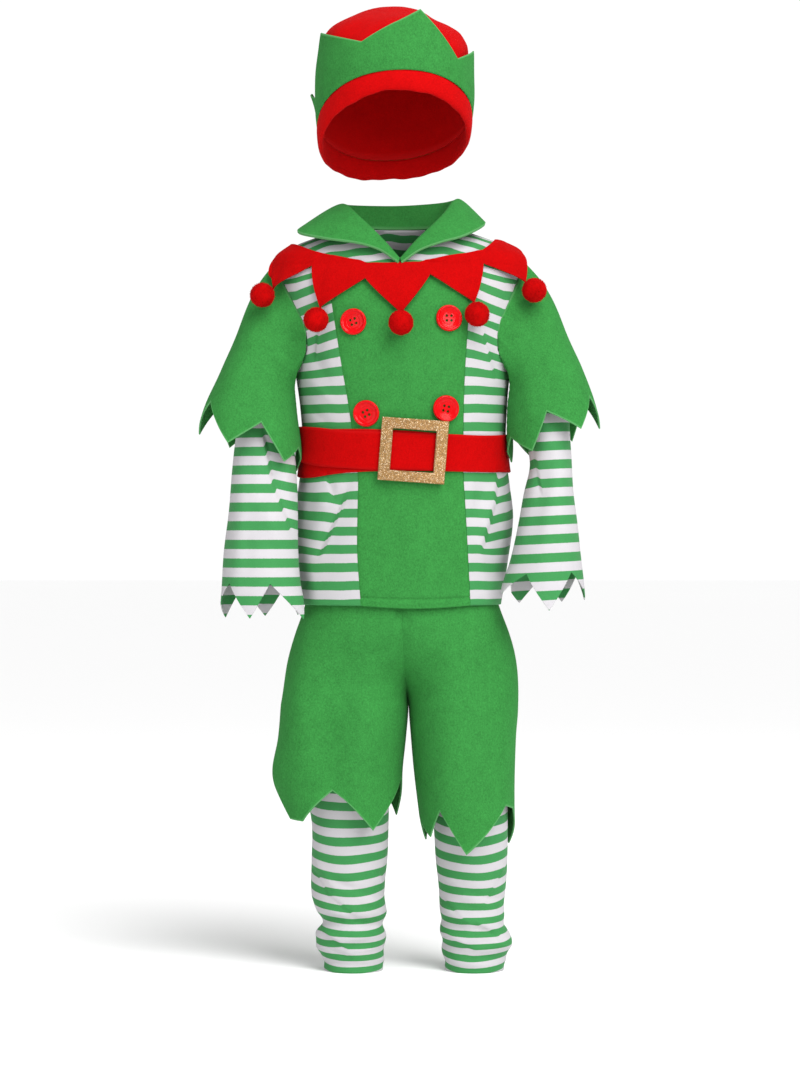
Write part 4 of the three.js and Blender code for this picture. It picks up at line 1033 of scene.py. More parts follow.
COLLAR = Table(
    "station seamX seamY seamZ foldX foldY foldZ edgeX edgeY edgeZ",
    [0, -1, -68, -17.5, -1, -70, -17, -2, -75, -21],
    [1, -18, -63, -4.5, -18, -62, 3, -22, -74, -7],
    [2, -36, -53, 7.5, -38, -52, 24, -48, -74, 1],
    [3, -50, -39, 19.8, -54, -34, 41, -84, -62, 7],
    [4, -57, -12, 28, -62, -10, 50, -115, -34, 16],
    [5, -58, 10, 28, -66, 14, 52, -108, 12, 26],
    [6, -41, 36, 28, -46, 44, 54, -76, 66, 20],
    [7, 0, 47, 28, 0, 54, 55, 0, 90, 14],
    [8, 41, 36, 28, 46, 44, 57, 70, 66, 22],
    [9, 58, 10, 28, 66, 14, 58, 92, 14, 33],
    [10, 57, -12, 28, 61, -10, 54, 95, -36, 24],
    [11, 50, -39, 19.8, 51, -36, 38, 72, -64, 10],
    [12, 36, -53, 7.5, 37, -52, 22, 46, -73, 2],
    [13, 18, -63, -4.5, 18, -62, 3, 22, -74, -7],
    [14, 1, -68, -17.5, 1, -70, -17, 2, -75, -21],
)
# How the wing of the collar arches, and how its stitched edge swells
COLLAR_RISE = 3
COLLAR_RISE_SHARE = 0.12
COLLAR_STITCH = 4.5
COLLAR_ROLL = 1.5


def collar_part(part, station):
    return np.stack([COLLAR.smooth(part + axis, station) for axis in "XYZ"], axis=-1)


def collar_surface(station, share):
    seam, fold, edge = (collar_part(part, station) for part in ("seam", "fold", "edge"))
    width = np.linalg.norm(edge - fold, axis=-1)
    wing = np.clip(share, 0, 1)
    point = fold + (edge - fold) * wing[..., None]
    point[..., 2] += np.minimum(COLLAR_RISE, width * COLLAR_RISE_SHARE) * np.sin(np.pi * wing**0.6)
    stand = share < 0
    point[stand] = (fold + (seam - fold) * -share[..., None])[stand]
    return point, np.stack([station * 40, share * 40], axis=-1), width * (1 - wing), wing


def make_collar(thick):
    """The collar's edge is turned and stitched: it swells at the edge, and dips along the thread."""
    stations = COLLAR.keys(12)
    from_fold = np.concatenate([np.linspace(-1, 0, 9)[:-1], shares(34)])
    grid = np.meshgrid(stations, from_fold)
    outer, lie, from_edge, wing = collar_surface(*grid)
    on_wing = smoothstep(wing, 0.05, 0.3)
    roll = COLLAR_ROLL * smoothstep(-from_edge, -COLLAR_STITCH, -1.0)
    bulge = (roll - stitch_dip(from_edge - COLLAR_STITCH)) * on_wing
    return shell("collar_felt", outer, thick, False, lie, bulge)


# Jester collar: rays from the middle of the chest meet the tunic and sleeves, and the collar lies on them

JESTER_TOP = Table(
    "angle rise",
    [-180, 50], [-135, 46], [-108, 36], [-94, 34], [-78, 34.4], [-60, 33.5], [-40, 35.6], [0, 39],
    [37, 38], [60, 34.8], [75, 38.5], [88, 35.5], [105, 35], [135, 46], [180, 50],
)
JESTER_CUT = Table(
    "angle rise",
    [-180, 8], [-152, 31], [-128, 8], [-98, 30], [-86, 25], [-74.8, 12], [-59, 26.5], [-52, 4.5],
    [-26, 25.3], [0.7, 1.4], [23, 28.4], [48.5, 7.5], [57, 28.3], [74.8, 15.5], [86, 29], [128, 8],
    [152, 31], [180, 8],
)
# How far the collar lies off the cloth, how finely it is made, and how wide a tab's tip is in degrees
JESTER_LIFT = 2.5
JESTER_STEPS = 18
JESTER_ROWS = 40
JESTER_SMOOTHINGS = 3
TAB_HALF = 7.0
POMPOMS = range(1, 9)


def ray_direction(angle, rise):
    turn, up = math.radians(angle), math.radians(rise)
    return Vector((math.sin(turn) * math.cos(up), -math.cos(turn) * math.cos(up), math.sin(up)))


def tree_of(things):
    points, faces = [], []
    for thing in things:
        start = len(points)
        points += [vertex.co for vertex in thing.data.vertices]
        faces += [[start + i for i in face.vertices] for face in thing.data.polygons]
    return BVHTree.FromPolygons(points, faces)


def reach_of(tree, angle, rise):
    """Distance from the chest's middle to the farthest cloth in a direction, in millimetres."""
    start, direction = Vector(CHEST_MIDDLE * MM), ray_direction(angle, rise)
    far = 0.6
    hit = tree.ray_cast(start + direction * far, -direction, far)
    return (far - hit[3]) / MM if hit[0] else 0.0


def eased(values, across, down):
    """Each value averaged with those near it: across is how many columns round, down how many rows."""
    for axis, width in ((0, down), (1, across)):
        weights = {step: 1 + width - abs(step) for step in range(-width, width + 1)}
        total = sum(shifted(values, step, axis) * weight for step, weight in weights.items())
        values = total / sum(weights.values())
    return values


def shifted(values, step, axis):
    """The grid moved by a step: its columns run round and meet, and its end rows repeat."""
    if axis == 1:
        return np.roll(values, step, axis=1)
    rows = len(values)
    return values[np.clip(np.arange(rows) + step, 0, rows - 1)]


def highest_near(values):
    """The highest of each value and its neighbours."""
    for axis in (0, 1):
        values = np.max([shifted(values, step, axis) for step in (-1, 0, 1)], axis=0)
    return values


def pull_tips(reach, angle, share, thick):
    """Brings the point of each tab to the tie of its pompom."""
    for number in POMPOMS:
        tie = pompom_centre(f"pompom_{number}")[1] / MM - CHEST_MIDDLE
        aside = (angle - math.degrees(math.atan2(tie[0], -tie[1])) + 180) % 360 - 180
        tip = np.abs(aside[-1]).argmin()
        gap = np.linalg.norm(tie) + thick / 2 - reach[-1, tip]
        reach = reach + gap * share**3 * np.exp(-(aside / TAB_HALF) ** 2)
    return reach


def make_jester_collar(under, thick):
    across, down = JESTER_CUT.keys(JESTER_STEPS), shares(JESTER_ROWS)
    angle, share = np.meshgrid(across, down)
    rise = lerp(JESTER_TOP.straight("rise", angle), JESTER_CUT.straight("rise", angle), share)
    tree = tree_of(under)
    reach = np.array([[reach_of(tree, a, r) for a, r in zip(*row)] for row in zip(angle, rise)])[:, :-1]
    least = highest_near(reach) - 0.3
    for _ in range(JESTER_SMOOTHINGS):
        reach = np.maximum(reach, eased(reach, 8, 4))
    reach = eased(np.maximum(eased(reach, 5, 4), least), 2, 2)
    tips = np.cos(np.radians(angle * 14))[:, :-1]
    lift = JESTER_LIFT + share[:, :-1] ** 3 * (1.2 + 0.8 * tips)
    turn, up = np.radians(angle[:, :-1]), np.radians(rise[:, :-1])
    direction = np.stack([np.sin(turn) * np.cos(up), -np.cos(turn) * np.cos(up), np.sin(up)], axis=-1)
    reach = pull_tips(reach + lift + thick, angle[:, :-1], share[:, :-1], thick)
    outer = CHEST_MIDDLE + direction * reach[..., None]
    lie = np.stack([angle * 2.4, -share * 60], axis=-1)
    return shell("jester_collar_felt", outer, thick, True, lie)


# Belt and buckle

BELT_RUN = Table(
    "angle top bottom lift",
    [-375, -214, -255, 0.9], [-352, -210, -255, 0.9], [-330, -209, -257, 0.9], [-300, -209, -262, 0.9],
    [-270, -210, -260, 0.9], [-180, -212, -256, 0.9], [-90, -213, -255, 0.9], [-45, -216, -256, 0.9],
    [-10, -214, -255, 2], [12, -212, -254, 3.8], [28, -211, -252, 3.8], [50, -207, -249, 3.8],
    [72, -205, -244, 3.8], [84, -205, -243, 3.8],
)
BUCKLE_CENTRE = (14.2, -233)
BUCKLE_TURN = math.radians(-4.3)
BUCKLE_THICK = 3.0
BUCKLE_ROUND = 0.6
BUCKLE_OFF_BELT = 2.8
BELT_OFF_TUNIC = 0.35


def belt_surface(thick):
    def surface(turned, share):
        z = lerp(BELT_RUN.smooth("top", turned), BELT_RUN.smooth("bottom", turned), share)
        wave = 0.5 * np.sin(5 * np.radians(turned) + 1) + 0.3 * np.sin(11 * np.radians(turned))
        out = BELT_RUN.smooth("lift", turned) + thick + BELT_OFF_TUNIC
        point, _ = torso_surface(-turned, z + wave * (1 - 2 * np.abs(share - 0.5)), out)
        return point, np.stack([turned * 1.8, z], axis=-1)

    return surface


def make_buckle(size):
    """A square frame of board that follows the belt's curve."""
    wide, high, bar = (value / MM for value in size)
    back = BELT_RUN.columns["lift"][-1] + BUCKLE_OFF_BELT
    front = back + BUCKLE_THICK
    soft = BUCKLE_ROUND
    profile = [
        (1, front - soft), (1, back), (0, back), (0, front - soft),
        (soft / bar, front), (1 - soft / bar, front),
    ]
    corners = np.array([(-0.5, 0.5), (0.5, 0.5), (0.5, -0.5), (-0.5, -0.5)])
    sides = [lerp(corners[i], corners[(i + 1) % 4], np.linspace(0, 1, 24, endpoint=False)[:, None])
             for i in range(4)]
    loop = np.concatenate(sides)
    sections = []
    for inward, out in profile:
        x = loop[:, 0] * (wide - 2 * bar * inward)
        z = loop[:, 1] * (high - 2 * bar * inward)
        world_x = BUCKLE_CENTRE[0] + x * math.cos(BUCKLE_TURN) - z * math.sin(BUCKLE_TURN)
        world_z = BUCKLE_CENTRE[1] + x * math.sin(BUCKLE_TURN) + z * math.cos(BUCKLE_TURN)
        sections.append(section_point(section_at(TORSO, world_z, out), torso_angle(world_x, world_z),
                                      world_z, TORSO_POWER))
    return ring_mesh("buckle_board", np.stack(sections, axis=1), 30)


# Breeches and leggings

SEAT = Table(
    "z mid half front back",
    [-225, 3, 97, 66, 70], [-300, 3, 104, 71, 75], [-360, 2, 107, 73, 76], [-400, 2, 109.5, 74, 77.6],
    [-440, 3, 122, 78, 80], [-480, 3, 131, 78, 81], [-523, 5, 135, 74, 79],
)
LEG_RINGS = {
    RIGHT: Table(
        "z mid half front back",
        [-440, -62, 70, 72, 74], [-523, -64, 73.8, 68, 71], [-560, -67, 74, 67, 69],
        [-600, -72, 75, 66, 68], [-630, -68, 71, 66, 68], [-665, -63, 65, 65, 67],
    ),
    LEFT: Table(
        "z mid half front back",
        [-440, 70, 62.2, 72, 74], [-523, 73, 63.2, 68, 71], [-560, 73, 60.5, 67, 69],
        [-600, 74, 58, 66, 68], [-650, 77, 55, 64, 66], [-700, 80, 52, 62, 64],
    ),
}
LEG_CUT = {
    RIGHT: Table(
        "share z",
        [0, -606], [0.07, -652], [0.16, -612], [0.26, -660], [0.36, -618], [0.44, -652], [0.5, -604],
        [0.58, -651], [0.64, -652], [0.74, -616], [0.83, -662], [0.97, -604], [1, -606],
    ),
    LEFT: Table(
        "share z",
        [0, -650], [0.1, -671], [0.16, -640], [0.24, -689], [0.39, -635], [0.46, -640], [0.58, -685],
        [0.66, -644], [0.76, -690], [0.86, -640], [0.94, -680], [1, -650],
    ),
}
BREECHES_FOLDS = [
    (-122, -480, -112, -580, 20, 5), (-64, -470, -88, -610, 26, -6.5), (-36, -520, -46, -630, 24, 6),
    (60, -470, 50, -640, 26, 6.5), (96, -480, 102, -620, 22, -6),
]
BREECHES_CREASES = [
    (-8, -448, -22, -462, 6, -1.6), (-6, -470, -40, -486, 9, 1.4), (10, -470, 40, -500, 10, 1.2),
    (-100, -420, -112, -470, 12, 1.4), (100, -420, 112, -480, 12, 1.4), (30, -430, 24, -520, 12, -1.2),
    (84, -520, 80, -640, 14, 1.2), (-80, -540, -78, -640, 12, -1.2),
]
# The seam behind stands this many degrees aside, so that no light passes through both seams
BACK_SEAM_ASIDE = 0.9
CENTRE_GROOVE = 3.2
GROOVE_SHARE = 0.013
FOLDS_BELOW = (415, 460)
FOLDS_BEHIND = 0.35
FACING = (5, 45)


def breeches_surface(side):
    cut = LEG_CUT[side]

    def surface(share, level):
        hem = cut.straight("z", share)
        z = np.where(level >= 0, lerp(BREECHES_SEAM_Z, hem, level), level)
        seat_angle = 180 * share if side == LEFT else -180 + 180 * share
        seat_angle = seat_angle + BACK_SEAM_ASIDE * (share if side == LEFT else 1 - share) ** 6
        leg_angle = -90 + 360 * share if side == LEFT else -270 + 360 * share
        pinch = (0.5 - share) * 2
        on_seat = section_point(section_at(SEAT, z), seat_angle + SEAM_CLOSED * pinch, z, TORSO_POWER)
        leg = section_at(LEG_RINGS[side], z)
        on_leg = section_point(leg, leg_angle + 3 * SEAM_CLOSED * pinch, z, LEG_POWER)
        closing = np.clip((z - CROTCH_Z) / CROTCH_RISE, 0, 1)
        point = lerp(on_leg, on_seat, np.sin(np.pi / 2 * closing)[..., None])
        x, y = point[..., 0].copy(), point[..., 1].copy()
        low = smoothstep(-z, *FOLDS_BELOW)
        before = fold_height(BREECHES_FOLDS + BREECHES_CREASES, x, z)
        behind = FOLDS_BEHIND * fold_height(BREECHES_FOLDS, x + 6, z)
        point[..., 1] += low * (smoothstep(y, *FACING) * behind - smoothstep(-y, *FACING) * before)
        from_front = share if side == LEFT else 1 - share
        point[..., 1] += CENTRE_GROOVE * closing * np.exp(-(from_front / GROOVE_SHARE) ** 2)
        near_hem = smoothstep(level, 0.7, 1.0)
        out = unit(np.stack([x - leg["mid"], y, np.zeros_like(x)], axis=-1))
        from_inseam = 1 - np.abs(2 * share - 1) ** 4
        swell = unevenness(point, 1.4, 0.9) * low * (1 + near_hem) * from_inseam
        return point + swell[..., None] * out, np.stack([share * 400, z], axis=-1)

    return surface


LEGGING_COLUMNS = "z mid half front back midY"
LEGGING_RINGS = {
    RIGHT: Table(
        LEGGING_COLUMNS,
        [-575, -69, 70, 60, 66.2, 0], [-598, -66, 60, 56, 58, 2], [-625, -61, 49, 48, 52, 4],
        [-656, -57.5, 44.5, 44, 50, 6], [-700, -58, 43.5, 42, 50, 8], [-742, -60, 42, 40, 47, 9],
        [-760, -56, 40, 38, 42, 8], [-774, -54, 35, 35, 39, 8], [-786, -57, 39.5, 38, 42, 8],
        [-800, -57, 40, 39, 42, 8], [-810, -54.5, 35.5, 36, 38, 8], [-828, -53.5, 34, 35, 37, 8],
    ),
    LEFT: Table(
        LEGGING_COLUMNS,
        [-575, 73.5, 55.5, 59, 66.2, 0], [-598, 76, 52, 56, 58, 2], [-625, 79, 46, 48, 52, 4],
        [-656, 81, 43, 44, 50, 6], [-700, 82.5, 41.5, 42, 49, 8], [-735, 83.5, 38.5, 39, 46, 9],
        [-750, 83, 37.5, 37, 42, 8], [-772, 83.5, 37, 36, 39, 8], [-786, 86, 39, 38, 41, 8],
        [-800, 88.5, 40.5, 39, 42, 8], [-812, 86, 35.5, 36, 38, 8], [-828, 85.5, 34, 35, 37, 8],
    ),
}
LEGGING_FOLDS = [
    (-98, -700, -76, -728, 5, 2.2), (-92, -716, -40, -736, 5, -1.8), (-30, -716, -18, -734, 5, 2.2),
    (-94, -752, -60, -764, 5, 2.0), (-44, -744, -18, -752, 5, 1.8), (-90, -778, -70, -792, 5, 2.4),
    (-64, -790, -30, -784, 5, 2.2), (-86, -800, -58, -810, 4, -2.4), (-48, -802, -22, -798, 4, 2.0),
    (-56, -764, -34, -776, 6, -1.8), (-92, -664, -66, -676, 6, 0.9),
    (112, -706, 122, -720, 5, 1.8), (48, -718, 70, -728, 5, 1.6), (80, -736, 118, -746, 5, -1.6),
    (50, -756, 78, -770, 5, 2.2), (84, -770, 116, -780, 5, 2.2), (48, -784, 70, -794, 5, 2.6),
    (76, -796, 112, -790, 5, -2.2), (100, -786, 126, -800, 5, 3.0), (60, -744, 88, -756, 6, -1.4),
]
LEGGING_PLEATS = [
    (-102, -704, -80, -740, -1, 11, 1.6, 3.2), (-80, -738, -48, -764, -1, 14, 1.4, 2.6),
    (-26, -712, -14, -730, 1, 10, 1.2, 3.0), (-92, -776, -60, -800, -1, 12, 1.8, -4.0),
    (48, -742, 78, -770, -1, 14, 1.4, 2.6), (124, -700, 96, -752, 1, 12, 1.4, 2.8),
    (84, -768, 122, -790, -1, 14, 1.8, 3.2), (52, -782, 84, -800, -1, 12, 1.6, -3.4),
]
LEGGING_FALL = Table(
    "z v",
    [-560, -560], [-647, -647], [-688, -688.2], [-708, -708.6], [-727, -729], [-745, -749.4],
    [-762, -769.8], [-777, -790.3], [-800, -824], [-828, -864],
)
# How the stripes run down the leg, and where the cloth gathers at the ankle
LEGGING_STRIPE_V = -638.6
LEGGING_TILT = 0.2
LEGGING_TOP_Z = -575
GATHER_STARTS = (745, 780)
GATHER_ENDS = (816, 828)
GATHER_HEIGHT = 1.3
WAISTBAND_OUT = 0.6
WAISTBAND_THICK = 3.0
WAISTBAND_Z = (WAIST_Z + 12, WAIST_Z - 10)


def legging_surface(side):
    def surface(angle, z):
        row = section_at(LEGGING_RINGS[side], z)
        point = section_point(row, angle, z)
        towards = np.cos(np.radians(angle))
        x = point[..., 0].copy()
        shown = fold_height(LEGGING_FOLDS, x, z) * smoothstep(towards, -0.1, 0.5)
        behind = 0.7 * fold_height(LEGGING_FOLDS, 2 * row["mid"] - x, z) * smoothstep(-towards, 0.0, 0.5)
        gather = smoothstep(-z, *GATHER_STARTS) * (1 - smoothstep(-z, *GATHER_ENDS))
        phase = z / 4.2 + 1.6 * np.sin(np.radians(angle) + side) + 0.8 * towards
        ripple = gather * GATHER_HEIGHT * np.sin(phase)
        out = unit(np.stack([x - row["mid"], point[..., 1] - row["midY"], np.zeros_like(x)], axis=-1))
        drop, slip = pleat_lines(LEGGING_PLEATS, x, z)
        in_front = smoothstep(towards, -0.1, 0.4)
        height = shown + behind + ripple + unevenness(point, 0.6, 1.6) - drop * in_front
        point = point + height[..., None] * out
        down = LEGGING_FALL.smooth("v", z) + LEGGING_TILT * (row["midY"] - point[..., 1])
        down = down - 0.35 * (shown + behind) + 0.8 * np.sin(x / 13 + z / 23) - LEGGING_STRIPE_V
        down = down + slip * in_front
        return point, np.stack([np.radians(angle) * row["half"], down], axis=-1)

    return surface


def waistband_surface(angle, z):
    gathers = 0.35 * np.sin(np.radians(angle) * 60)
    point = section_point(section_at(SEAT, z, WAISTBAND_OUT + gathers), angle, z, TORSO_POWER)
    return point, np.stack([angle * 1.7, z], axis=-1)


# Hat

HAT_FORM = Table(
    "z mid half front back",
    [90, -7, 84, 88, 96], [130, -7, 88, 92, 98], [165, -6, 90, 97, 100], [200, -7, 90, 100, 100],
    [230, -6, 89, 99, 98], [280, -5, 87, 96, 95],
)
BAND_CUT = Table(
    "angle top flare",
    [-196, 160, 0], [-160, 206, 3], [-132, 158, 0], [-112, 185, 13], [-93, 174, 0], [-72, 244, 0],
    [-23, 225, 0], [17, 261, 1], [52, 210, 0], [82, 226, 2], [108, 172, 0], [136, 212, 4], [164, 160, 0],
)
CROWN_RINGS = Table(
    "z mid half front back midY",
    [205, -7, 87, 97, 96, 0], [225, -8, 87, 94, 94, 0], [240, -9, 83, 87, 90, 2],
    [255, -11, 70, 72, 78, 6], [268, -10, 47, 48, 56, 10], [278, -8, 24, 24, 30, 12],
    [282, -7, 0, 0, 0, 12],
)
# Where the crown leaves the band, hangs free and ends
CROWN_TUCK_Z = 212
CROWN_TUCK = 2.5
CROWN_FREE_Z = (200, 240)
CROWN_SOFT_Z = (214, 226)
CROWN_TOP_Z = 282
CROWN_CREASES = [
    (-70, 222, -30, 262, 12, -2.0), (-50, 214, -16, 240, 10, 1.6), (20, 232, 40, 262, 10, -1.8),
    (52, 216, 66, 246, 8, 2.4), (-84, 208, -74, 236, 8, 1.8), (0, 262, 26, 276, 12, 1.4),
]
HAT_CREASES = [
    (-86, 150, -74, 176, 8, 1.2), (-60, 190, -40, 226, 16, 1.0), (60, 150, 74, 200, 12, 1.4),
    (76, 186, 80, 214, 6, -1.8), (-88, 170, -82, 214, 7, 1.4), (10, 190, 16, 244, 20, 0.9),
]


RIM_HIGH = 22
RIM_DEEP = 3.6
RIM_POWER = 2.6
RIM_COLUMNS = 216
RIM_SIDES = 28


def rim_top(angle):
    """Height of the line where the rolled rim meets the band: highest in front."""
    turn = np.radians(angle)
    drop = np.where(np.cos(turn) > 0, 45, 34)
    return 148 + drop * np.cos(turn) + 6 * np.sin(turn)


def hat_surface_point(angle, z, out):
    """A point that stands out millimetres from the hat's form, with the hat's creases."""
    point = section_point(section_at(HAT_FORM, z, out), angle, z, HAT_POWER)
    towards = np.cos(np.radians(angle))
    x = point[..., 0].copy()
    point[..., 1] -= smoothstep(towards, -0.1, 0.4) * fold_height(HAT_CREASES, x, z)
    point[..., 1] += smoothstep(-towards, -0.1, 0.4) * fold_height(HAT_CREASES, -x - 12, z)
    return point


def band_surface(angle, share):
    low = rim_top(angle) + 0.1
    z = lerp(BAND_CUT.straight("top", angle), low, share)
    flare = BAND_CUT.smooth("flare", angle) * (1 - share) ** 2
    pull = smoothstep(share, 0.72, 1.0)
    gathers = 0.45 * np.sin(np.radians(angle) * 78) * pull * smoothstep(np.abs(angle + 6), 24, 60)
    out = flare + 1.5 * np.sin(np.pi * share) + gathers + 0.5 * (1 - share)
    return hat_surface_point(angle, z, out), np.stack([angle * 1.6, z], axis=-1)


def make_rim():
    """The rolled edge: a soft tube, a little uneven along its length."""
    around = np.radians(np.linspace(0, 360, RIM_SIDES, endpoint=False))
    angle = np.linspace(-180, 180, RIM_COLUMNS, endpoint=False)
    turn = np.radians(angle)
    high = RIM_HIGH + 6 * np.abs(np.sin(turn)) + 0.5 * np.sin(9 * turn) + 0.35 * np.sin(23 * turn + 1)
    angle, around = np.meshgrid(angle, around, indexing="ij")
    z = rim_top(angle) + 0.5 * high[:, None] * (round_power(np.sin(around), RIM_POWER) - 1)
    out = -3 - RIM_DEEP * round_power(np.cos(around), RIM_POWER)
    sections = section_point(section_at(HAT_FORM, z, out), angle, z, HAT_POWER)
    sections += unevenness(sections, 0.4, 2.0)[..., None] * unit(sections * [1, 1, 0])
    return ring_mesh("hat_rim_felt", sections)


def crown_surface(angle, level):
    """The bag of the crown: inside the band it follows the band, above it it slumps in soft folds."""
    z = np.where(level <= 1, lerp(rim_top(angle) + 0.9, CROWN_TUCK_Z, level), level)
    tuck = lerp(-CROWN_TUCK, 0, np.clip((z - CROWN_TUCK_Z) / (CROWN_TOP_Z - CROWN_TUCK_Z), 0, 1))
    low, high = (section_at(table, z) for table in (HAT_FORM, CROWN_RINGS))
    low["midY"] = np.zeros_like(z)
    above = smoothstep(z, *CROWN_FREE_Z)
    row = {name: lerp(low[name], high[name], above) for name in high if name != "z"}
    soft = 1 + 0.02 * np.sin(np.radians(5 * angle)) * smoothstep(z, 222, 236)
    wide = row["half"] > 10
    for name in ("half", "front", "back"):
        row[name] = row[name] * soft + np.where(wide, tuck, 0)
    point = section_point(row, angle, z, HAT_POWER)
    towards = np.cos(np.radians(angle))
    x = point[..., 0].copy()
    creases = fold_height(CROWN_CREASES, x, z) * smoothstep(towards, -0.3, 0.3)
    creases += fold_height(CROWN_CREASES, -x - 14, z) * smoothstep(-towards, -0.3, 0.3)
    free = smoothstep(z, *CROWN_SOFT_Z) * smoothstep(CROWN_TOP_Z - z, 0, 12)
    out = unit(point - np.stack([row["mid"], row["midY"], z - 40], axis=-1))
    height = (np.minimum(creases, 1.2) + unevenness(point, 0.9, 1.6)) * free
    return point + height[..., None] * out, np.stack([angle * 1.6, z], axis=-1)


# Buttons and pompoms

BUTTON_PLACES = {1: (-52, -88), 2: (54.7, -84), 3: (-37.6, -191), 4: (51.3, -185.5)}
BUTTON_SPINS = {1: 8, 2: 12, 3: 15, 4: 0}
BUTTON_PROFILE = [
    (0, 0), (0.88, 0), (0.96, 0.03), (1.0, 0.09), (1.0, 0.15), (0.985, 0.21), (0.95, 0.255),
    (0.90, 0.275), (0.85, 0.265), (0.81, 0.235), (0.77, 0.2), (0.72, 0.18), (0.56, 0.168),
    (0.53, 0.16), (0.51, 0.14), (0.48, 0.134), (0, 0.134),
]
BUTTON_SIDES = 72
BUTTON_OFF_TUNIC = 0.7
HOLE_OUT = 2.7
HOLE_RADIUS = 1.5


def lathe(name, profile, sides):
    """A turned form about +Z from radius and height pairs that start and end on the axis."""
    points = [(0, 0, profile[0][1]), (0, 0, profile[-1][1])]
    rings = profile[1:-1]
    for radius, height in rings:
        for k in range(sides):
            turn = 2 * math.pi * k / sides
            points.append((radius * math.cos(turn), radius * math.sin(turn), height))

    def at(ring, k):
        return 2 + ring * sides + k % sides

    faces = []
    for k in range(sides):
        faces.append((0, at(0, k + 1), at(0, k)))
        faces.append((1, at(len(rings) - 1, k), at(len(rings) - 1, k + 1)))
        for ring in range(len(rings) - 1):
            faces.append((at(ring, k), at(ring, k + 1), at(ring + 1, k + 1), at(ring + 1, k)))
    return mesh_object(name, points, faces, None, 40)


def make_button(name, number, across):
    radius = across / 2
    disc = lathe(name, [(r * radius, h * radius) for r, h in BUTTON_PROFILE], BUTTON_SIDES)
    cutter_mesh = bpy.data.meshes.new("holes")
    holes = bmesh.new()
    for turn in (45, 135, 225, 315):
        made = bmesh.ops.create_cone(holes, cap_ends=True, segments=20, radius1=HOLE_RADIUS * MM,
                                     radius2=HOLE_RADIUS * MM, depth=0.02)
        shift = Vector((math.cos(math.radians(turn)), math.sin(math.radians(turn)), 0))
        bmesh.ops.translate(holes, verts=made["verts"], vec=shift * HOLE_OUT * math.sqrt(2) * MM)
    holes.to_mesh(cutter_mesh)
    holes.free()
    cutter = bpy.data.objects.new("holes", cutter_mesh)
    bpy.context.scene.collection.objects.link(cutter)
    cut = disc.modifiers.new("holes", "BOOLEAN")
    cut.object, cut.operation, cut.solver = cutter, "DIFFERENCE", "EXACT"
    graph = bpy.context.evaluated_depsgraph_get()
    mesh = bpy.data.meshes.new_from_object(disc.evaluated_get(graph))
    disc.modifiers.clear()
    disc.data = mesh
    bpy.data.objects.remove(cutter)
    x, z = BUTTON_PLACES[number]
    seat_on_tunic(disc, x, z, BUTTON_OFF_TUNIC, BUTTON_SPINS[number])
    disc.data.transform(disc.matrix_world)
    disc.matrix_world.identity()
    disc.data.shade_smooth()
    disc.data.set_sharp_from_angle(angle=math.radians(40))
    return disc


def seat_on_tunic(thing, x, z, lift, spin):
    """Turns a piece whose own +Z is its front square to the tunic, its back just off the cloth."""
    def at(px, pz):
        pz = np.float64(pz)
        return Vector(section_point(section_at(TORSO, pz), torso_angle(px, pz), pz, TORSO_POWER))

    facing = (at(x + 4, z) - at(x - 4, z)).cross(at(x, z + 8) - at(x, z - 8)).normalized()
    place = Matrix.Translation((at(x, z) + facing * lift) * MM)
    turn = Vector((0, 0, 1)).rotation_difference(facing) @ Quaternion((0, 0, 1), math.radians(spin))
    thing.matrix_world = place @ turn.to_matrix().to_4x4()


# Shares of a pompom's radius
CORE_SHARE = 0.92
FIBRE_ROOT, FIBRE_WAIST = 0.86, 0.94
FIBRE_REACH = (0.95, 1.02)
FIBRE_BEND = 0.12
FIBRE_THICK = (0.00016, 0.00028)
THREAD_THICK, THREAD_END = 0.0016, 0.0009
THREAD_SIDES = 8


def pompom_centre(node):
    """Middle of a pompom's solid, whose farthest point is the tie to its tab."""
    points = np.array([vertex.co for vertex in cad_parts[node].data.vertices], float)
    points = np.unique(points.round(6), axis=0)
    middle = points.mean(0)
    far = np.linalg.norm(points - middle, axis=1).argmax()
    tie = points[far]
    return np.delete(points, far, axis=0).mean(0), tie


def polygon(middle, radius, aside, over, sides):
    """The corners of a flat polygon whose plane holds the directions aside and over."""
    turns = [2 * math.pi * corner / sides for corner in range(sides)]
    return [middle + radius * (math.cos(turn) * aside + math.sin(turn) * over) for turn in turns]


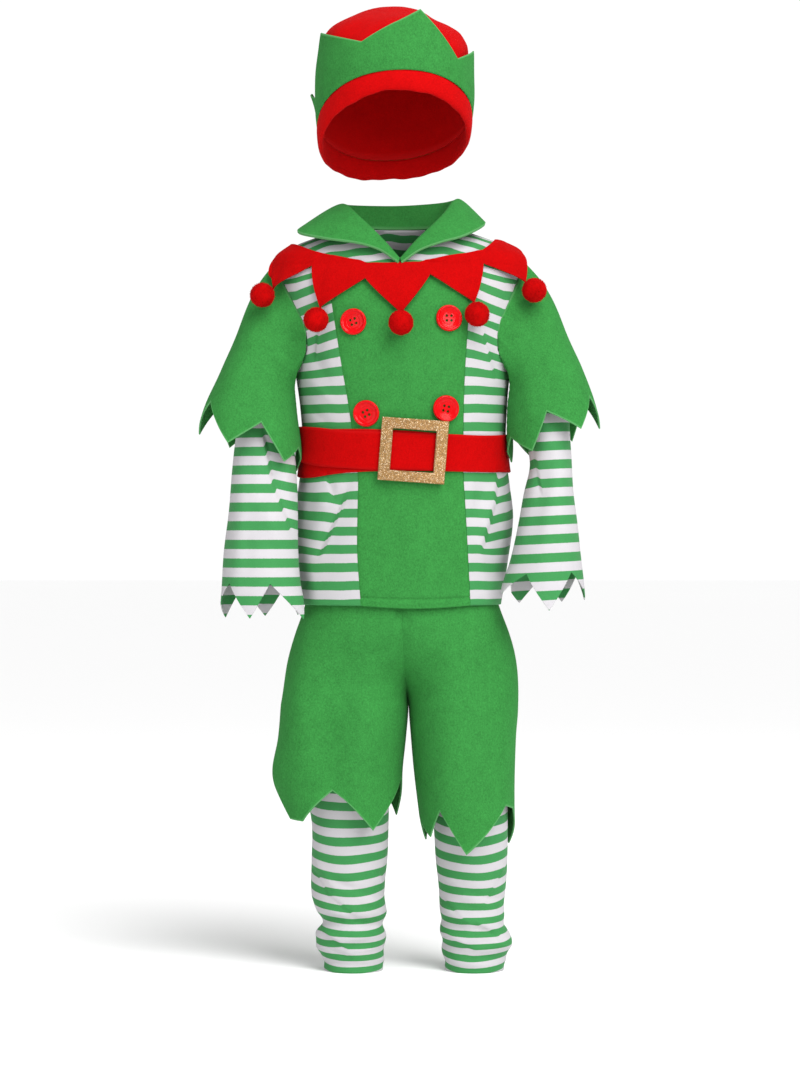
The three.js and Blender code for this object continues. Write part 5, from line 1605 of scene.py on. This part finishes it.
def make_pompom(name, node, across, fibres, seed):
    """A wool ball: a lumpy core, many short loose fibres, and the thread that ties it to its tab."""
    chance = np.random.default_rng(seed)
    centre, tie = pompom_centre(node)
    core = bmesh.new()
    bmesh.ops.create_icosphere(core, subdivisions=5, radius=1.0)
    directions = np.array([vertex.co for vertex in core.verts], float)
    lumps = unevenness(directions * 90 + seed * 37, 0.03)
    lumps += unevenness(directions * 620 + seed * 11, 0.018)
    radius = across / 2
    points = list(centre + directions * radius * (CORE_SHARE + lumps[:, None]))
    faces = [[vertex.index for vertex in face.verts] for face in core.faces]
    core.free()
    for _ in range(fibres):
        out = unit(chance.normal(size=3))
        aside = unit(np.cross(out, chance.normal(size=3)))
        across_way = np.cross(out, aside)
        reach = radius * chance.uniform(*FIBRE_REACH)
        bend = aside * radius * chance.uniform(0.0, FIBRE_BEND)
        thick = chance.uniform(*FIBRE_THICK)
        start = len(points)
        for share, width in ((FIBRE_ROOT, 1.0), (FIBRE_WAIST, 0.8)):
            middle = centre + out * reach * share + bend * (share - FIBRE_ROOT) * 6
            points += polygon(middle, thick * width, aside, across_way, 3)
        points.append(centre + out * reach + bend)
        for k in range(3):
            after = (k + 1) % 3
            faces.append([start + k, start + after, start + 3 + after, start + 3 + k])
            faces.append([start + 3 + k, start + 3 + after, start + 6])
        faces.append([start + 2, start + 1, start])
    tie_way = unit(tie - centre)
    aside = unit(np.cross(tie_way, [0.3, 0.9, 0.1]))
    over = np.cross(tie_way, aside)
    start, sides = len(points), THREAD_SIDES
    for middle, width in ((centre + tie_way * radius * 0.8, THREAD_THICK), (tie, THREAD_END)):
        points += polygon(middle, width, aside, over, sides)
    for k in range(sides):
        after = (k + 1) % sides
        faces.append([start + k, start + after, start + sides + after, start + sides + k])
    faces.append([start + sides + k for k in range(sides)])
    faces.append([start + sides - 1 - k for k in range(sides)])
    return mesh_object(name, [tuple(point) for point in points], faces, None, 80)


# Operators

class ElfOperator:
    """What the costume's operators share."""

    bl_options = {"REGISTER", "UNDO"}

    def settings(self, context):
        return context.scene.elf_cloth, context.scene.elf_trim


# The pieces that the jester collar lies on, filled by the operators that make them
UNDER_JESTER = {}


class ELF_OT_hat(ElfOperator, bpy.types.Operator):
    """Make the hat: soft crown, jagged band and rolled rim"""

    bl_idname = "elf.hat"
    bl_label = "Hat"

    def execute(self, context):
        settings, _ = self.settings(context)
        felt = settings.felt / MM
        free_rows = np.linspace(CROWN_TUCK_Z + 1, CROWN_TOP_Z - 0.3, 46)
        levels = np.concatenate([shares(12), free_rows])
        angle, level = np.meshgrid(whole_turn(145), levels)
        outer, lie = crown_surface(angle, level)
        outer, lie = outer[::-1, :-1], lie[::-1]
        crown = shell("hat_crown_felt", outer, felt, True, lie)
        close_top(crown, outer.shape, felt)
        finish_piece(crown, "hat_crown", "hat felt")
        band = cloth("hat_band_felt", band_surface, BAND_CUT.keys(16), shares(34), felt,
                     closed=True, cut=(1, 0))
        finish_piece(band, "hat_band", "green felt")
        rim = finish_piece(make_rim(), "hat_rim", "hat felt")
        return {"FINISHED"}


def close_top(thing, shape, thick):
    """Closes the crown's top, where the shell's first rows have drawn together."""
    mesh = bmesh.new()
    mesh.from_mesh(thing.data)
    mesh.verts.ensure_lookup_table()
    rows, columns = shape[:2]

    def ring(row):
        return [mesh.verts[row * columns + k] for k in range(columns)]

    outside, inside = ring(0) + ring(2 * rows + 1), ring(2 * rows)
    top = sum((vertex.co for vertex in outside), Vector()) / len(outside)
    bmesh.ops.pointmerge(mesh, verts=outside, merge_co=top)
    bmesh.ops.pointmerge(mesh, verts=inside, merge_co=top - Vector((0, 0, thick * MM)))
    mesh.to_mesh(thing.data)
    mesh.free()


class ELF_OT_tunic(ElfOperator, bpy.types.Operator):
    """Make the tunic: green centre front, striped sides and striped back"""

    bl_idname = "elf.tunic"
    bl_label = "Tunic"

    def execute(self, context):
        settings, _ = self.settings(context)
        felt, striped = settings.felt / MM, settings.striped / MM
        rows = [np.linspace(FRONT_TOP_Z, -390, 160), np.linspace(-391, TUNIC_HEM_Z, 22)]
        front_rows = np.concatenate(rows)
        front = cloth("tunic_front_felt", centre_front_surface, shares(62), front_rows, felt,
                      cut=(1, 0))
        UNDER_JESTER["front"] = finish_piece(front, "tunic_front", "green felt")
        for side, name in SIDES.items():
            panel = cloth(f"tunic_side_{name}_cloth", side_front(side), shares(44), tunic_rows(1.9),
                          striped)
            finish_piece(panel, f"tunic_side_{name}", "striped cloth")
            UNDER_JESTER[f"side_{name}"] = panel
        back = cloth("tunic_back_cloth", tunic_back_surface, shares(110), tunic_rows(2.4), striped)
        UNDER_JESTER["back"] = finish_piece(back, "tunic_back", "striped cloth")
        return {"FINISHED"}


class ELF_OT_sleeves(ElfOperator, bpy.types.Operator):
    """Make the short green sleeves and the long striped ones, both with cut points"""

    bl_idname = "elf.sleeves"
    bl_label = "Sleeves"

    def execute(self, context):
        settings, _ = self.settings(context)
        for side, name in SIDES.items():
            over = cloth(
                f"oversleeve_{name}_felt",
                sleeve_surface(OVERSLEEVE_RINGS[side], OVERSLEEVE_CUT[side], side, "over"),
                OVERSLEEVE_CUT[side].keys(11), shares(68), settings.felt / MM, True,
            )
            finish_piece(over, f"oversleeve_{name}", "green felt")
            UNDER_JESTER[f"over_{name}"] = over
            under = cloth(
                f"undersleeve_{name}_cloth",
                sleeve_surface(UNDERSLEEVE_RINGS[side], UNDERSLEEVE_CUT[side], side, "under"),
                UNDERSLEEVE_CUT[side].keys(12), shares(132), settings.striped / MM, True,
            )
            finish_piece(under, f"undersleeve_{name}", "striped cloth")
        return {"FINISHED"}


class ELF_OT_collar(ElfOperator, bpy.types.Operator):
    """Make the turned-down collar with its stitched edge"""

    bl_idname = "elf.collar"
    bl_label = "Collar"

    def execute(self, context):
        settings, _ = self.settings(context)
        collar = make_collar(settings.felt / MM)
        finish_piece(collar, "collar", "green felt")
        return {"FINISHED"}


class ELF_OT_jester_collar(ElfOperator, bpy.types.Operator):
    """Make the red collar with pointed tabs and its pompoms"""

    bl_idname = "elf.jester_collar"
    bl_label = "Jester collar and pompoms"

    def execute(self, context):
        settings, trim = self.settings(context)
        jester = make_jester_collar(list(UNDER_JESTER.values()), settings.felt / MM)
        finish_piece(jester, "jester_collar", "red felt")
        for number in POMPOMS:
            node = f"pompom_{number}"
            ball = make_pompom(f"{node}_wool", node, trim.pompom, trim.fibres, number)
            finish_piece(ball, node, "pompom wool")
        return {"FINISHED"}


class ELF_OT_buttons(ElfOperator, bpy.types.Operator):
    """Make the four red buttons"""

    bl_idname = "elf.buttons"
    bl_label = "Buttons"

    def execute(self, context):
        _, trim = self.settings(context)
        for number in BUTTON_PLACES:
            button = make_button(f"button_{number}_plastic", number, trim.button)
            finish_piece(button, f"button_{number}", "button plastic")
        return {"FINISHED"}


class ELF_OT_belt(ElfOperator, bpy.types.Operator):
    """Make the belt, one strip that laps over its start, and the glittering buckle"""

    bl_idname = "elf.belt"
    bl_label = "Belt and buckle"

    def execute(self, context):
        settings, trim = self.settings(context)
        thick = settings.belt / MM
        start, end = BELT_RUN.key[-1], BELT_RUN.key[0]
        belt = cloth("belt_felt", belt_surface(thick), np.linspace(start, end, 420), shares(16), thick)
        finish_piece(belt, "belt", "red felt")
        buckle = make_buckle(trim.buckle)
        finish_piece(buckle, "buckle", "gold glitter")
        return {"FINISHED"}


class ELF_OT_breeches(ElfOperator, bpy.types.Operator):
    """Make the waistband and the two halves of the breeches"""

    bl_idname = "elf.breeches"
    bl_label = "Breeches"

    def execute(self, context):
        settings, _ = self.settings(context)
        felt = settings.felt / MM
        band = cloth("waistband_felt", waistband_surface, whole_turn(241),
                     np.linspace(*WAISTBAND_Z, 10), WAISTBAND_THICK, True)
        finish_piece(band, "waistband", "green felt")
        levels = np.concatenate([
            np.linspace(WAISTBAND_Z[1] - 0.5, -400, 30), np.linspace(-403, BREECHES_SEAM_Z + 2, 62),
            shares(40),
        ])
        for side, name in SIDES.items():
            half = cloth(f"breeches_{name}_felt", breeches_surface(side), LEG_CUT[side].keys(10), levels,
                         felt)
            finish_piece(half, f"breeches_{name}", "green felt")
        return {"FINISHED"}


class ELF_OT_leggings(ElfOperator, bpy.types.Operator):
    """Make the striped leggings, bunched at the ankle"""

    bl_idname = "elf.leggings"
    bl_label = "Leggings"

    def execute(self, context):
        settings, _ = self.settings(context)
        rows = np.concatenate([np.linspace(LEGGING_TOP_Z, -690, 40), np.linspace(-691.5, ANKLE_Z, 92)])
        for side, name in SIDES.items():
            legging = cloth(f"legging_{name}_cloth", legging_surface(side), whole_turn(103),
                            rows, settings.striped / MM, True)
            finish_piece(legging, f"legging_{name}", "striped cloth")
        return {"FINISHED"}


class ELF_OT_stage(ElfOperator, bpy.types.Operator):
    """Make the pale floor, the soft lights and the camera"""

    bl_idname = "elf.stage"
    bl_label = "Stage"

    def execute(self, context):
        stage = context.scene.elf_stage
        make_floor()
        make_sky(stage.sky)
        add_even_light(stage.even)
        for name, (setting, share, place, target, size) in LIGHTS.items():
            add_light(name, place, target, size, share * getattr(stage, setting))
        add_camera(stage)
        context.scene.view_settings.view_transform = "Standard"
        return {"FINISHED"}


# Each light's power as a share of a setting, its place, what it points at and its size, in metres
LIGHTS = {
    "key": ("key", 1.0, (1.5, -2.6, 0.9), (0.0, 0.0, -0.3), 1.6),
    "fill": ("fill", 1.0, (-1.9, -2.3, 0.4), (0.0, 0.0, -0.35), 1.8),
    "top": ("fill", 0.6, (0.2, 1.8, 1.9), (0.0, 0.0, -0.2), 1.4),
    "upper": ("fill", 0.5, (0.3, -1.3, 1.5), (0.0, 0.0, 0.15), 0.9),
}
FLOOR_HALF = 30.0
FLOOR_BELOW = 0.0005
FLOOR_PALE = (0.985, 1.0)
SKY_SEEN = 1.02
EVEN_SPREAD = 45
EVEN_TURN = (40, 0, 36)


def make_floor():
    material, tree, shader = new_material("pale floor", {"Roughness": 0.9, "Specular IOR Level": 0.1})
    clouds = add_node(tree, "ShaderNodeTexNoise", {"Scale": 3.0, "Detail": 2.0})
    low_tone, high_tone = FLOOR_PALE
    tint = colour_ramp(tree, clouds.outputs[0], [(0.3, [low_tone] * 3), (0.7, [high_tone] * 3)])
    tree.links.new(tint, shader.inputs["Base Color"])
    size, low = FLOOR_HALF, CAD_BOX[0].z - FLOOR_BELOW
    corners = [(-size, -size, low), (size, -size, low), (size, size, low), (-size, size, low)]
    floor = mesh_object("floor", corners, [[0, 1, 2, 3]])
    floor.data.materials.append(material)


def make_sky(strength):
    """Pale surroundings: white where the camera sees them, and dimmer as a light."""
    world = bpy.data.worlds.new("pale surroundings")
    world.use_nodes = True
    tree = world.node_tree
    background = tree.nodes["Background"]
    background.inputs["Color"].default_value = (1.0, 1.0, 1.0, 1.0)
    by_camera = add_node(tree, "ShaderNodeLightPath").outputs["Is Camera Ray"]
    ranged(tree, by_camera, strength, SKY_SEEN, background.inputs["Strength"])
    bpy.context.scene.world = world


def add_light(name, place, target, size, power):
    light = bpy.data.lights.new(name, "AREA")
    light.shape, light.size, light.energy = "DISK", size, power
    thing = bpy.data.objects.new(name, light)
    thing.location = place
    thing.rotation_mode = "QUATERNION"
    thing.rotation_quaternion = (Vector(place) - Vector(target)).to_track_quat("Z", "Y")
    bpy.context.scene.collection.objects.link(thing)


def add_even_light(strength):
    """A broad light without falloff, so that the floor is as pale far away as it is near."""
    light = bpy.data.lights.new("even", "SUN")
    light.energy, light.angle = strength, math.radians(EVEN_SPREAD)
    thing = bpy.data.objects.new("even", light)
    thing.rotation_euler = [math.radians(turn) for turn in EVEN_TURN]
    bpy.context.scene.collection.objects.link(thing)


def add_camera(stage):
    lens = bpy.data.cameras.new("camera")
    lens.sensor_width = 36.0
    lens.lens = 18.0 * stage.distance / stage.half_height
    camera = bpy.data.objects.new("camera", lens)
    camera.location = (0.0, -stage.distance, stage.eye)
    camera.rotation_euler = (math.radians(90), 0.0, 0.0)
    bpy.context.scene.collection.objects.link(camera)
    bpy.context.scene.camera = camera


class ELF_PT_costume(bpy.types.Panel):
    """Lists the costume's operators and settings"""

    bl_idname = "ELF_PT_costume"
    bl_label = "Elf costume"
    bl_space_type = "VIEW_3D"
    bl_region_type = "UI"
    bl_category = "Costume"

    def draw(self, context):
        column = self.layout.column(align=True)
        for operator in OPERATORS:
            column.operator(operator.bl_idname)
        for title in SCENE_SETTINGS:
            box = self.layout.box()
            group = getattr(context.scene, title)
            for name in group.bl_rna.properties.keys():
                if name not in ("rna_type", "name"):
                    box.prop(group, name)


OPERATORS = [
    ELF_OT_hat, ELF_OT_tunic, ELF_OT_sleeves, ELF_OT_collar, ELF_OT_jester_collar, ELF_OT_buttons,
    ELF_OT_belt, ELF_OT_breeches, ELF_OT_leggings, ELF_OT_stage,
]
CLASSES = [ElfClothSettings, ElfTrimSettings, ElfStageSettings, *OPERATORS, ELF_PT_costume]
SCENE_SETTINGS = {
    "elf_cloth": ElfClothSettings, "elf_trim": ElfTrimSettings, "elf_stage": ElfStageSettings,
}


def register():
    for each in CLASSES:
        bpy.utils.register_class(each)
    for name, kind in SCENE_SETTINGS.items():
        setattr(bpy.types.Scene, name, PointerProperty(type=kind))


def unregister():
    for name in SCENE_SETTINGS:
        delattr(bpy.types.Scene, name)
    for each in reversed(CLASSES):
        bpy.utils.unregister_class(each)


def main():
    register()
    for operator in OPERATORS:
        family, name = operator.bl_idname.split(".")
        getattr(getattr(bpy.ops, family), name)()


if __name__ == "__main__":
    main()
